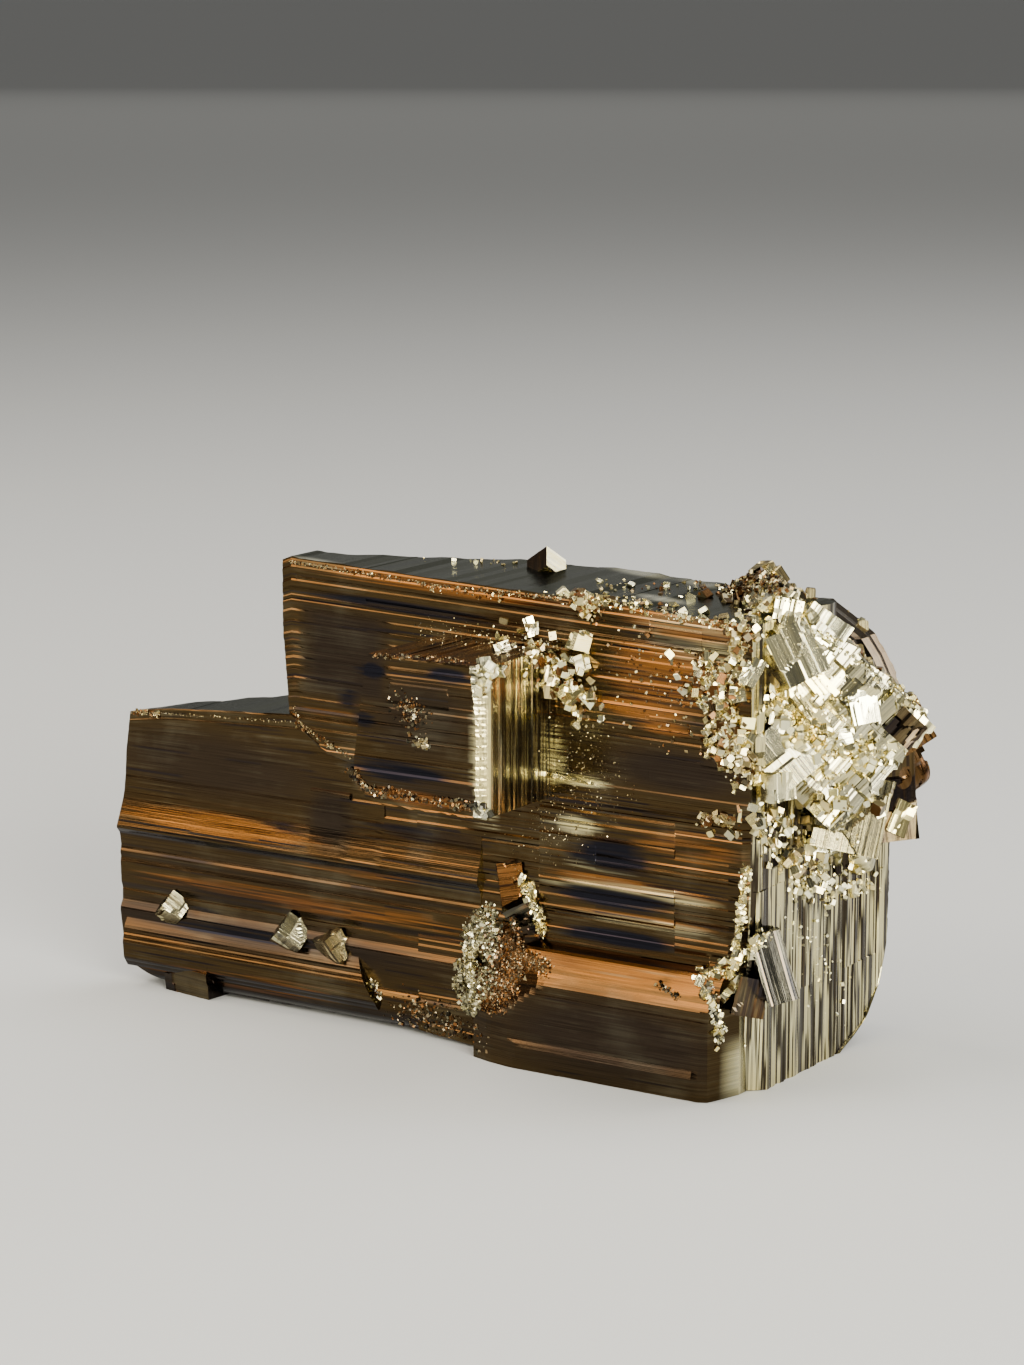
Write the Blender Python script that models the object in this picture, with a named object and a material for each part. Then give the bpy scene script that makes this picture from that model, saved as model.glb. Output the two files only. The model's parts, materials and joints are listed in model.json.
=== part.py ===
"""Pyrite cluster: brassy crystals with square corners, grown through one another.

A long striated crystal lies along X and carries a shorter one on top. A small block stands out of
the front, a low block out of the foot, and a tilted crystal caps the right end among crumbs of
smaller cubes. They share one solid. X runs along the front, Y away from it and Z up, and the
origin is under the middle of the cluster. Every size below is in millimetres and every angle in
degrees.
"""
import math
import random

import bmesh
import bpy
from mathutils import Matrix, Vector

MM = 0.001
NODE_NAME = "pyrite_cluster"
MARGIN = 6.0                     # how far a cutting outline runs past the crystal that it shapes
FACET_RUN = 2.0                  # run over rise of the facet between two bands of a striated face

# Long lower crystal, whose left and right halves grew together
FRONT = -9.3
LOWER_BACK = 19.5
LOWER_TOP = 33.0
LEFT_END = -45.9
RIGHT_END = 34.2
JOIN = (-6.0, 2.0)               # the halves overlap between these

# Bevel on the lower crystal's right front edge, wide at the foot and gone at the top
CORNER_BEVEL = (31.8, -9.4, 10.0)
CORNER_BEVEL_FACING = (0.72, -0.69, -0.07)

# Upper crystal, a little proud of the lower one
UPPER_LEFT = -22.8
UPPER_FRONT = FRONT - 0.7
UPPER_BACK = 7.6
UPPER_FOOT = 28.1
UPPER_TOP = 50.3
UPPER_FALL = 0.036               # fall of the top for each millimetre to the right

# Small block on the front, with a pit in its face
BLOCK_X = (-4.9, 10.3)
BLOCK_FRONT = -22.4
BLOCK_Z = (28.2, 43.6)
PIT_CENTRE = (2.5, -22.6, 37.6)
PIT_SIZE = (4.4, 1.6, 4.8)
PIT_ANGLES = (8.0, 0.0, 12.0)

# Low block at the foot, broken off along a slope at its left end
TOE_X = (3.6, 31.6)
TOE_FRONT = -13.2
TOE_TOP = 11.6
TOE_BREAK = (12.7, -13.2, 9.9)
TOE_BREAK_FACING = (-0.27, -0.88, 0.39)

# Tilted crystal that caps the right end
CAP_CENTRE = (32.2, 2.9, 38.7)
CAP_SIZE = (13.0, 21.5, 15.0)    # thickness, length, width
CAP_ANGLES = (-50.0, 0.0, -43.0)

# Crystals behind
BACK_FACE = 22.2
BACK_RIGHT_Z = (9.0, 45.5)
BACK_LEFT_Z = (3.5, 25.0)

# Blocks grown out of the back: name, centre, size, angles (turn, lean, roll), band width, seed
REAR_BLOCKS = (
    ("rear_shelf", (-13.4, 7.6, 29.4), (14.6, 15.4, 16.6), (0, 0, 0), 2.6, 101),
    ("left_wing", (-33.2, 1.2, 12.6), (11.6, 11.0, 18.4), (13, 0, 0), 2.4, 103),
    ("wing_top", (-25.4, 5.2, 23.6), (8.6, 8.2, 8.0), (13, 0, 0), 2.0, 105),
    ("seam_block", (0.6, 16.7, 13.6), (8.4, 8.6, 11.6), (-11, 0, 7), 2.0, 107),
    ("rear_step", (-15.6, 18.2, 13.4), (9.6, 7.4, 13.0), (0, 0, 0), 2.2, 109),
    ("right_step", (25.2, 18.0, 37.0), (9.4, 6.6, 9.2), (8, -6, 0), 2.2, 113),
)
REAR_DEPTH = 0.4

# Slabs left standing on the front: X from, X to, Z from, Z to, how proud
TERRACES = (
    (-19.8, -14.6, 19.6, 25.3, 0.55),
    (-14.9, -10.2, 18.2, 24.7, 0.35),
    (-10.5, 9.8, 16.9, 23.4, 0.22),
    (9.2, 25.3, 16.4, 27.0, 0.30),
    (16.0, 31.6, 20.4, 23.6, 0.45),
)
TERRACE_DEPTH = 4.0

# Small crystals: name, centre, size, angles (turn, lean, roll)
SMALL = (
    ("foot", (-36.4, -7.4, 1.8), (6.8, 5.0, 3.6), (-8, 0, 0)),
    ("rear_foot", (-17.0, 12.5, 2.7), (9.0, 7.0, 5.4), (-8, 0, 0)),
    ("left_gem", (-38.6, -9.6, 9.4), (3.0, 3.0, 3.0), (38, 22, 40)),
    ("middle_gem", (-22.4, -9.6, 9.0), (3.4, 3.4, 3.6), (30, 25, 35)),
    ("striped_gem", (-17.0, -9.4, 8.4), (3.6, 2.4, 3.0), (-25, 10, 28)),
    ("upright_gem", (5.9, -9.6, 18.2), (2.6, 2.2, 4.6), (35, 8, -6)),
    ("leaning_gem", (7.2, -9.9, 15.8), (3.0, 2.6, 2.6), (28, 30, 20)),
    ("dark_gem", (8.1, -9.8, 13.0), (2.4, 2.4, 3.4), (40, 5, 8)),
    ("top_gem", (2.3, 2.6, 49.2), (2.9, 2.9, 2.9), (20, 35, 45)),
    ("top_wedge", (28.0, 3.0, 46.8), (6.4, 6.4, 6.4), (12, 35, 45)),
    ("corner_gem", (33.8, -9.0, 10.8), (3.2, 3.2, 4.2), (-52, 0, -12)),
    ("corner_slab", (35.6, -7.4, 13.4), (4.8, 2.6, 7.0), (-44, 12, -14)),
    ("right_lump", (34.6, 12.6, 20.4), (2.6, 2.6, 3.0), (10, 20, 30)),
    ("cap_cube", (36.4, 6.6, 26.9), (7.2, 7.2, 8.0), (-58, 6, -12)),
    ("cap_pillar", (36.2, 14.8, 27.2), (5.4, 5.0, 9.6), (-38, 4, 3)),
    ("cap_tip", (39.8, 10.6, 35.2), (5.0, 5.2, 5.0), (-48, 6, 30)),
    ("brown_knob", (36.9, 16.0, 29.8), (4.8, 5.6, 6.0), (-30, 10, 24)),
    ("cap_shoulder", (34.4, -3.6, 44.0), (5.0, 5.4, 5.6), (-30, 20, 18)),
    ("cap_ledge", (34.8, -5.4, 34.2), (5.0, 6.2, 6.0), (-56, 12, 38)),
    ("back_gem", (-22.6, 19.1, 19.6), (4.2, 3.8, 4.2), (30, 20, 20)),
    ("back_cube", (13.4, 18.6, 30.0), (7.0, 5.0, 7.4), (10, 6, 10)),
    ("low_cube", (20.4, 17.9, 14.4), (6.2, 5.6, 7.0), (24, 8, 12)),
    ("seam_cube", (4.6, 18.2, 21.6), (4.6, 4.8, 4.6), (38, 18, 26)),
    ("shelf_gem", (-18.0, 12.8, 36.6), (4.4, 4.4, 4.4), (22, 28, 40)),
    ("shelf_cube", (-8.6, 13.6, 37.2), (5.4, 5.0, 4.6), (-14, 10, 0)),
    ("wing_gem", (-37.2, 4.0, 20.4), (3.6, 3.6, 3.6), (30, 32, 38)),
    ("wing_cube", (-29.4, 6.4, 5.6), (5.0, 4.6, 5.4), (40, 0, 10)),
)

# Strips of crumbs: name, count, from, to, spread along X, Y and Z, smallest and largest edge
CRUMBS = (
    ("beside_block", 14, (12.2, -9.9, 44.4), (15.4, -9.9, 37.4), (1.7, 0.25, 1.6), 1.2, 2.5),
    ("front_right", 10, (21.5, -9.9, 45.4), (31.5, -9.9, 41.4), (1.6, 0.2, 1.6), 1.0, 2.0),
    ("front_corner", 16, (32.6, -9.8, 46.4), (33.4, -9.6, 27.6), (1.3, 0.4, 1.0), 1.3, 2.6),
    ("front_edge", 8, (28.0, -9.2, 28.4), (32.4, -9.2, 26.4), (1.4, 0.2, 1.0), 0.9, 1.6),
    ("bevel", 8, (33.0, -8.2, 26.0), (32.8, -8.0, 14.0), (0.3, 0.4, 1.0), 1.0, 1.9),
    ("top_edge", 10, (9.0, -8.6, 49.0), (31.0, -8.0, 48.3), (1.2, 1.0, 0.15), 1.0, 1.9),
    ("top_right", 8, (20.0, -5.0, 48.6), (30.0, 3.0, 48.2), (2.0, 3.4, 0.2), 1.0, 2.2),
    ("under_cap", 20, (34.2, -7.6, 36.4), (34.8, 6.0, 22.8), (0.5, 1.8, 1.8), 1.3, 3.0),
    ("cap_side", 12, (34.4, -6.2, 47.2), (34.4, -5.0, 37.0), (0.5, 1.4, 1.5), 1.3, 2.8),
    ("cap_foot", 10, (36.6, -3.4, 29.8), (41.5, 3.6, 28.8), (0.9, 1.2, 1.3), 1.2, 2.4),
    ("toe_corner", 7, (31.2, -11.6, 9.6), (33.0, -9.0, 12.6), (0.5, 0.5, 0.7), 1.0, 1.9),
    ("back_seam", 13, (-4.4, 19.4, 4.0), (5.0, 19.7, 30.4), (1.3, 0.4, 1.0), 1.4, 2.8),
    ("shelf_foot", 9, (-19.4, 15.0, 25.2), (-7.0, 15.6, 25.4), (0.8, 0.9, 0.3), 1.3, 2.6),
    ("top_back", 9, (8.0, 8.4, 45.0), (27.0, 9.0, 45.4), (1.2, 0.7, 0.3), 1.2, 2.4),
    ("wing_foot", 8, (-38.0, -3.6, 18.6), (-24.0, 7.2, 19.4), (0.9, 0.7, 0.9), 1.2, 2.4),
)
CRUMB_TURN = 45.0

# Grains over the toe's broken end: the slope's corners, how many, smallest and largest edge
BREAK_CORNERS = ((1.6, -9.3, 15.4), (0.4, -9.6, 9.4), (3.6, -11.6, 4.2), (10.8, -11.6, 9.6))
GRAINS = 34
GRAIN_EDGE = (1.6, 2.8)


# ---------------------------------------------------------------- outlines

def striae(low, high, seed, width, depth):
    """Bands across a face, as (place, height) points with a facet between each two bands."""
    dice = random.Random(seed)
    points = [(low, 0.0)]
    place, level = low, 0.0
    while True:
        flat_end = place + width * dice.uniform(0.45, 1.55)
        wanted = depth * dice.uniform(-1.0, 0.35)
        facet_end = flat_end + abs(wanted - level) * FACET_RUN
        if facet_end > high - width * 0.4:
            break
        points.append((flat_end, level))
        points.append((facet_end, wanted))
        place, level = facet_end, wanted
    points.append((high, level))
    return points


def face_run(plane, outward, relief):
    """A face seen edge on: its plane, moved outwards by the relief and carried on past both ends."""
    run = [(plane + outward * height, place) for place, height in relief]
    before = (run[0][0], relief[0][0] - MARGIN)
    after = (run[-1][0], relief[-1][0] + MARGIN)
    return [before] + run + [after]


def straight(plane, low, high):
    """A flat face seen edge on, carried on past both ends."""
    return [(plane, low - MARGIN), (plane, high + MARGIN)]


def closed(going, coming):
    """One closed outline from a run of points along one face and a run back along the other."""
    return list(going) + list(reversed(coming))


# ---------------------------------------------------------------- solids

def made_object(name, shape):
    """An object in the open collection from a bmesh, with its faces pointing out."""
    bmesh.ops.recalc_face_normals(shape, faces=shape.faces)
    mesh = bpy.data.meshes.new(name)
    shape.to_mesh(mesh)
    shape.free()
    thing = bpy.data.objects.new(name, mesh)
    bpy.context.collection.objects.link(thing)
    return thing


def evaluated_mesh(thing):
    """The mesh that an object's curve or modifiers give."""
    bpy.context.view_layer.update()
    depsgraph = bpy.context.evaluated_depsgraph_get()
    return bpy.data.meshes.new_from_object(thing.evaluated_get(depsgraph))


def prism(outline, axis, low, high):
    """A flat outline extruded along an axis: (Y, Z) for an X axis, (X, Z) for Y, (X, Y) for Z."""
    if axis == "Y":
        outline = [(z, x) for x, z in outline]
    curve = bpy.data.curves.new("outline", "CURVE")
    curve.dimensions = "2D"
    curve.fill_mode = "BOTH"
    curve.extrude = (high - low) / 2 * MM
    spline = curve.splines.new("POLY")
    spline.points.add(len(outline) - 1)
    for point, (first, second) in zip(spline.points, outline):
        point.co = (first * MM, second * MM, 0.0, 1.0)
    spline.use_cyclic_u = True
    flat = bpy.data.objects.new("outline", curve)
    bpy.context.collection.objects.link(flat)
    shape = bmesh.new()
    shape.from_mesh(evaluated_mesh(flat))
    bpy.data.objects.remove(flat)

    directions = {"X": ((0, 1, 0), (0, 0, 1), (1, 0, 0)),
                  "Y": ((0, 0, 1), (1, 0, 0), (0, 1, 0)),
                  "Z": ((1, 0, 0), (0, 1, 0), (0, 0, 1))}[axis]
    upright = Matrix(directions).transposed().to_4x4()
    middle = Matrix.Translation((0.0, 0.0, (low + high) / 2 * MM))
    bmesh.ops.remove_doubles(shape, verts=shape.verts, dist=1e-7)
    bmesh.ops.transform(shape, matrix=upright @ middle, verts=shape.verts)
    return made_object("prism", shape)


def combine(base, others, operation):
    """Boolean the others into the base one after another, and remove them."""
    for other in others:
        boolean = base.modifiers.new(operation, "BOOLEAN")
        boolean.operation = operation
        boolean.solver = "EXACT"
        boolean.object = other
        result = evaluated_mesh(base)
        base.modifiers.clear()
        base.data = result
        bpy.data.objects.remove(other)
    return base


def crystal(side, plan, elevation):
    """What lies inside a side outline (Y, Z), a plan (X, Y) and an elevation (X, Z) together."""
    xs = [x for x, y in plan]
    ys = [y for y, z in side]
    zs = [z for x, z in elevation]
    body = prism(side, "X", min(xs) - MARGIN, max(xs) + MARGIN)
    upright = prism(plan, "Z", min(zs) - MARGIN, max(zs) + MARGIN)
    through = prism(elevation, "Y", min(ys) - MARGIN, max(ys) + MARGIN)
    return combine(body, [upright, through], "INTERSECT")


def sliced(body, point, outward):
    """The body with what lies beyond a plane cut away."""
    shape = bmesh.new()
    shape.from_mesh(body.data)
    bpy.data.objects.remove(body)
    everything = shape.verts[:] + shape.edges[:] + shape.faces[:]
    cut = bmesh.ops.bisect_plane(shape, geom=everything, plane_co=Vector(point) * MM,
                                 plane_no=Vector(outward).normalized(), clear_outer=True)
    rim = [item for item in cut["geom_cut"] if isinstance(item, bmesh.types.BMEdge)]
    bmesh.ops.triangle_fill(shape, edges=rim, use_beauty=True)
    return made_object("sliced", shape)


def placed(centre, angles):
    """Matrix for a centre and three angles: a turn about Z, after a lean that lifts +X, after a roll."""
    turn, lean, roll = (math.radians(angle) for angle in angles)
    return (Matrix.Translation(Vector(centre) * MM) @ Matrix.Rotation(turn, 4, "Z")
            @ Matrix.Rotation(-lean, 4, "Y") @ Matrix.Rotation(roll, 4, "X"))


def cuboid(centre, size, angles=(0.0, 0.0, 0.0)):
    """A small square-cornered crystal."""
    shape = bmesh.new()
    bmesh.ops.create_cube(shape, size=1.0)
    bmesh.ops.scale(shape, vec=Vector(size) * MM, verts=shape.verts)
    bmesh.ops.transform(shape, matrix=placed(centre, angles), verts=shape.verts)
    return made_object("cuboid", shape)


# ---------------------------------------------------------------- the large crystals

def lower_left():
    """Left half of the long crystal, with broad rounded ribs across its front."""
    ribs = [(0.6, -0.9), (1.6, 0.0), (3.1, 0.35), (4.2, 0.1), (5.2, 0.6), (7.6, 0.7), (9.2, 0.0),
            (10.8, 0.6), (13.2, 0.5), (15.0, 0.1), (17.4, 0.85), (20.6, 0.3), (24.5, 0.1),
            (LOWER_TOP, 0.0)]
    side = closed(face_run(FRONT, -1, ribs),
                  face_run(LOWER_BACK, 1, striae(0.6, LOWER_TOP, seed=11, width=3.2, depth=0.5)))
    stepped_back = [(LEFT_END - 1.0, FRONT - MARGIN), (LEFT_END - 1.0, -8.7), (-43.6, -8.2),
                    (-41.6, -7.6), (-38.6, -4.2), (-36.0, -3.8), (-34.0, -0.6), (-31.6, -0.3),
                    (-30.2, 1.9), (-26.0, 3.0), (-23.0, 8.4), (-17.0, 9.6), (-13.0, LOWER_BACK),
                    (-12.0, LOWER_BACK + MARGIN)]
    plan = closed(stepped_back, straight(JOIN[1], FRONT, LOWER_BACK)[:1]
                  + [(JOIN[1], LOWER_BACK + MARGIN)])
    top = [(-43.6, 31.3), (-40.2, 31.8), (-32.0, 32.4), (-21.0, LOWER_TOP + 0.1),
           (JOIN[1] + MARGIN, LOWER_TOP + 0.1)]
    end = [(-44.3, 31.1), (-45.0, 26.5), (-45.3, 22.0), (LEFT_END, 17.8), (LEFT_END, 5.2),
           (-45.2, 3.2), (-43.8, 2.0), (-41.8, 1.0), (-39.0, 0.6), (JOIN[1] + MARGIN, 0.6)]
    return crystal(side, plan, closed(top, end))


def lower_right():
    """Right half of the long crystal: finer bands in front, upright striae on its right end."""
    bands = striae(0.0, LOWER_TOP, seed=23, width=2.4, depth=0.42)
    rounded_foot = [(0.0, -11.5), (1.2, -7.8), (2.5, -4.9), (5.5, -2.0), (9.6, -0.3), (15.0, 0.0),
                    (21.0, -0.3), (26.0, 0.1), (LOWER_TOP, 0.0)]
    side = closed(face_run(FRONT + 0.1, -1, bands), face_run(LOWER_BACK + 0.5, 1, rounded_foot))
    upright = striae(FRONT, LOWER_BACK, seed=31, width=1.9, depth=0.5)
    plan = closed(straight(JOIN[0], FRONT, LOWER_BACK), face_run(RIGHT_END, 1, upright))
    right = RIGHT_END + MARGIN
    elevation = closed([(JOIN[0] - MARGIN, LOWER_TOP - 0.4), (right, LOWER_TOP - 0.4)],
                       [(JOIN[0] - MARGIN, 0.8), (JOIN[0] + 3.0, 0.5), (3.0, 0.0), (right, 0.0)])
    return sliced(crystal(side, plan, elevation), CORNER_BEVEL, CORNER_BEVEL_FACING)


def upper():
    """Upper crystal, with its top stepped across and its back left side stepped away."""
    side = closed(
        face_run(UPPER_FRONT, -1, striae(UPPER_FOOT, UPPER_TOP, seed=41, width=2.2, depth=0.38)),
        face_run(UPPER_BACK, 1, striae(UPPER_FOOT, UPPER_TOP, seed=43, width=3.0, depth=0.45)))
    stepped_back = [(UPPER_LEFT - 1.0, UPPER_FRONT - MARGIN), (UPPER_LEFT - 1.0, -6.4),
                    (-21.4, -5.2), (-17.4, -4.6), (-13.5, -1.6), (-8.0, 1.2), (-2.8, 5.4),
                    (4.0, UPPER_BACK - 1.4), (8.0, UPPER_BACK), (12.0, UPPER_BACK + MARGIN)]
    upright = striae(UPPER_FRONT, UPPER_BACK, seed=47, width=1.8, depth=0.4)
    plan = closed(stepped_back, face_run(RIGHT_END, 1, upright))
    steps = striae(UPPER_LEFT + 4.0, RIGHT_END - 3.0, seed=53, width=5.0, depth=0.45)
    top = [(UPPER_LEFT, UPPER_TOP - 0.5), (UPPER_LEFT + 1.0, UPPER_TOP)]
    top += [(x, UPPER_TOP + height - UPPER_FALL * (x - UPPER_LEFT)) for x, height in steps]
    top.append((RIGHT_END + MARGIN, UPPER_TOP - 2.1))
    foot = [(UPPER_LEFT + 0.3, 42.0), (UPPER_LEFT + 0.9, 33.6), (UPPER_LEFT + 1.6, 32.3),
            (-19.4, 31.0), (-17.4, 29.6), (-14.2, 28.8), (RIGHT_END + MARGIN, UPPER_FOOT)]
    return crystal(side, plan, closed(top, foot))


def front_block():
    """Small block that stands out of the front, with upright striae on its right face."""
    left, right = BLOCK_X
    low, high = BLOCK_Z
    root = -4.0
    side = closed(face_run(BLOCK_FRONT, -1, striae(low, high, seed=61, width=1.9, depth=0.3)),
                  straight(root, low, high))
    upright = striae(BLOCK_FRONT + 1.6, root, seed=67, width=1.3, depth=0.35)
    plan = closed(straight(left, BLOCK_FRONT, root), face_run(right, 1, upright))
    elevation = [(left + 2.0, high), (right + 3.0, high - 0.2), (right + 3.0, low + 0.6),
                 (left + 3.5, low), (left + 1.4, low + 0.5), (left + 0.2, low + 2.6),
                 (left, low + 4.2), (left + 1.5, high - 1.6)]
    return crystal(side, plan, elevation)


def toe():
    """Low block at the foot, with a sloping ledge on top and the face that it rests on."""
    left, right = TOE_X
    root = 6.0
    ledge = [(0.0, 0.4), (2.3, 0.75), (3.2, 0.35), (6.5, 0.1), (9.2, 0.0), (9.8, -0.3),
             (TOE_TOP, -3.6), (TOE_TOP + 0.8, -5.5)]
    side = closed(face_run(TOE_FRONT, -1, ledge), straight(root, 0.0, TOE_TOP))
    plan = [(left - 1.4, -2.0), (left - 1.0, -12.2), (left + 1.6, -13.0), (left + 5.5, -13.7),
            (left + 9.0, TOE_FRONT - MARGIN), (right - 6.0, TOE_FRONT - MARGIN),
            (right - 2.0, -13.9), (right - 0.1, -13.1), (right + 1.1, -9.0), (right + 0.8, -2.0)]
    top = TOE_TOP + 4.6
    elevation = [(left - 4.5, top), (left - 4.5, 0.0), (right + 3.0, 0.0), (right + 3.0, top)]
    return sliced(crystal(side, plan, elevation), TOE_BREAK, TOE_BREAK_FACING)


def lower_rib():
    """Proud rib along the foot of the left half, cut off aslant at its right end."""
    left, right, root = LEFT_END + 0.8, -11.0, -2.0
    side = [(root, 2.2), (-9.9, 2.2), (-10.35, 3.2), (-10.5, 5.4), (-10.3, 7.4), (-9.6, 8.5),
            (root, 8.5)]
    plan = [(left, FRONT - MARGIN), (right, FRONT - MARGIN), (right - 0.8, root), (left, root)]
    elevation = [(left, 9.5), (-14.2, 9.5), (-12.6, 5.6), (right - 0.1, 3.1), (right - 0.1, 1.2),
                 (left, 1.2)]
    return crystal(side, plan, elevation)


def cap():
    """Tilted crystal that caps the right end, striated across its short way."""
    thick, long, wide = (extent / 2 for extent in CAP_SIZE)
    side = [(-long, -wide - MARGIN), (long, -wide - MARGIN), (long, wide + MARGIN),
            (-long, wide + MARGIN)]
    plan = closed(straight(-thick, -long, long),
                  face_run(thick, 1, striae(-long, long, seed=71, width=2.6, depth=0.3)))
    elevation = [(-thick - MARGIN, -wide), (thick + MARGIN, -wide), (thick + MARGIN, wide),
                 (-thick - MARGIN, wide)]
    body = crystal(side, plan, elevation)
    body.data.transform(placed(CAP_CENTRE, CAP_ANGLES))
    return body


def back_right():
    """Crystal behind the cap, its top sloping down to the right."""
    low, high = BACK_RIGHT_Z
    root = 3.0
    side = closed(straight(root, low, high),
                  face_run(BACK_FACE, 1, striae(low, high, seed=83, width=3.4, depth=0.5)))
    plan = closed([(6.0, root - MARGIN), (6.4, 12.0), (5.8, BACK_FACE + MARGIN)],
                  [(36.2, root - MARGIN), (36.2, 17.0), (35.2, 20.0), (35.2, BACK_FACE + MARGIN)])
    elevation = [(0.0, low), (26.0, 10.0), (30.0, 16.0), (31.8, 22.0), (34.5, 26.0), (36.0, 31.0),
                 (34.5, 36.5), (32.5, 40.4), (31.0, 42.4), (28.6, 43.9), (25.9, high),
                 (15.0, high - 0.5), (0.0, high - 1.2)]
    return crystal(side, plan, elevation)


def back_left():
    """Block behind the left half."""
    low, high = BACK_LEFT_Z
    root = -4.0
    side = closed(straight(root, low, high),
                  face_run(BACK_FACE - 0.2, 1, striae(low, high, seed=89, width=3.0, depth=0.4)))
    plan = [(-28.0, root), (-6.0, root), (-6.5, BACK_FACE + MARGIN), (-27.4, BACK_FACE + MARGIN)]
    elevation = [(-40.0, high + 0.2), (0.0, high - 0.4), (0.0, low + 1.1), (-40.0, low + 0.1)]
    return crystal(side, plan, elevation)


def rear_blocks():
    """Square-cornered crystals behind, each face striated its own way."""
    blocks = []
    for _, centre, size, angles, width, seed in REAR_BLOCKS:
        long, deep, high = (extent / 2 for extent in size)
        across_x = striae(-long, long, seed, width, REAR_DEPTH)
        across_y = striae(-deep, deep, seed + 400, width, REAR_DEPTH)
        across_z = striae(-high, high, seed + 800, width, REAR_DEPTH)
        side = closed(face_run(-deep, -1, across_z), face_run(deep, 1, across_z))
        plan = closed(face_run(-long, -1, across_y), face_run(long, 1, across_y))
        elevation = closed([(x, z) for z, x in face_run(-high, -1, across_x)],
                           [(x, z) for z, x in face_run(high, 1, across_x)])
        body = crystal(side, plan, elevation)
        body.data.transform(placed(centre, angles))
        blocks.append(body)
    return blocks


# ---------------------------------------------------------------- terraces and small crystals

def terraces():
    """Slabs a fraction of a millimetre proud of the front, where growth stopped at a step."""
    slabs = []
    for left, right, low, high, proud in TERRACES:
        centre = ((left + right) / 2, FRONT - proud + TERRACE_DEPTH / 2, (low + high) / 2)
        slabs.append(cuboid(centre, (right - left, TERRACE_DEPTH, high - low)))
    return slabs


def small_crystals():
    """Each named crystal, half sunk in what it grew on."""
    return [cuboid(centre, size, angles) for _, centre, size, angles in SMALL]


def crumbs():
    """Little cuboids scattered along the named strips, each turned its own way."""
    dice = random.Random(7)
    pieces = []
    for _, count, start, end, spread, smallest, largest in CRUMBS:
        for number in range(count):
            along = (number + dice.random()) / count
            centre = Vector(start).lerp(Vector(end), along)
            centre += Vector(reach * dice.uniform(-1.0, 1.0) for reach in spread)
            edge = dice.uniform(smallest, largest)
            size = (edge, edge * dice.uniform(0.7, 1.1), edge * dice.uniform(0.7, 1.2))
            angles = [dice.uniform(-CRUMB_TURN, CRUMB_TURN) for _ in range(3)]
            pieces.append(cuboid(centre, size, angles))
    return pieces


def grains():
    """Grains over the broken end of the toe."""
    dice = random.Random(19)
    above_left, left, below, right = (Vector(corner) for corner in BREAK_CORNERS)
    pieces = []
    for _ in range(GRAINS):
        across, down = dice.random(), dice.random()
        centre = above_left.lerp(right, across).lerp(left.lerp(below, across), down)
        edge = dice.uniform(*GRAIN_EDGE)
        angles = [dice.uniform(-CRUMB_TURN, CRUMB_TURN) for _ in range(3)]
        pieces.append(cuboid(centre, (edge, edge, edge), angles))
    return pieces


# ---------------------------------------------------------------- the cluster

def pyrite_material():
    """Brassy metal, browned by tarnish."""
    material = bpy.data.materials.new("pyrite")
    material.use_nodes = True
    shader = material.node_tree.nodes["Principled BSDF"]
    shader.inputs["Base Color"].default_value = (0.36, 0.27, 0.15, 1.0)
    shader.inputs["Metallic"].default_value = 1.0
    shader.inputs["Roughness"].default_value = 0.3
    return material


def connected(start):
    """Every vertex that edges join to this one."""
    found, waiting = {start}, [start]
    while waiting:
        vertex = waiting.pop()
        for edge in vertex.link_edges:
            other = edge.other_vert(vertex)
            if other not in found:
                found.add(other)
                waiting.append(other)
    return found


def tidied(cluster):
    """Merge flat facets, drop any crumb that touches nothing, and leave triangles."""
    shape = bmesh.new()
    shape.from_mesh(cluster.data)
    bmesh.ops.remove_doubles(shape, verts=shape.verts, dist=2e-6)
    bmesh.ops.dissolve_degenerate(shape, edges=shape.edges, dist=2e-6)
    main_body = connected(min(shape.verts, key=lambda vertex: vertex.co.x))
    loose = [vertex for vertex in shape.verts if vertex not in main_body]
    bmesh.ops.delete(shape, geom=loose, context="VERTS")
    bmesh.ops.dissolve_limit(shape, verts=shape.verts, edges=shape.edges,
                             angle_limit=math.radians(0.05))
    bmesh.ops.triangulate(shape, faces=shape.faces)
    bmesh.ops.recalc_face_normals(shape, faces=shape.faces)
    shape.to_mesh(cluster.data)
    shape.free()
    cluster.data.shade_flat()


def main():
    for thing in list(bpy.data.objects):
        bpy.data.objects.remove(thing)
    collection = bpy.data.collections.new("Pyrite cluster")
    bpy.context.scene.collection.children.link(collection)
    layer = bpy.context.view_layer.layer_collection.children[collection.name]
    bpy.context.view_layer.active_layer_collection = layer

    cluster = lower_left()
    grown = [lower_right(), upper(), front_block(), toe(), lower_rib(), cap(), back_right(), back_left()]
    grown += rear_blocks() + terraces() + small_crystals() + crumbs() + grains()
    combine(cluster, grown, "UNION")
    combine(cluster, [cuboid(PIT_CENTRE, PIT_SIZE, PIT_ANGLES)], "DIFFERENCE")
    tidied(cluster)
    cluster.name = NODE_NAME
    cluster.data.name = NODE_NAME
    cluster.data.materials.clear()
    cluster.data.materials.append(pyrite_material())


main()
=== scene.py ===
import json
import math
import random

import bmesh
import bpy
import numpy as np
from mathutils import Matrix, Vector
from mathutils.bvhtree import BVHTree

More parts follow.
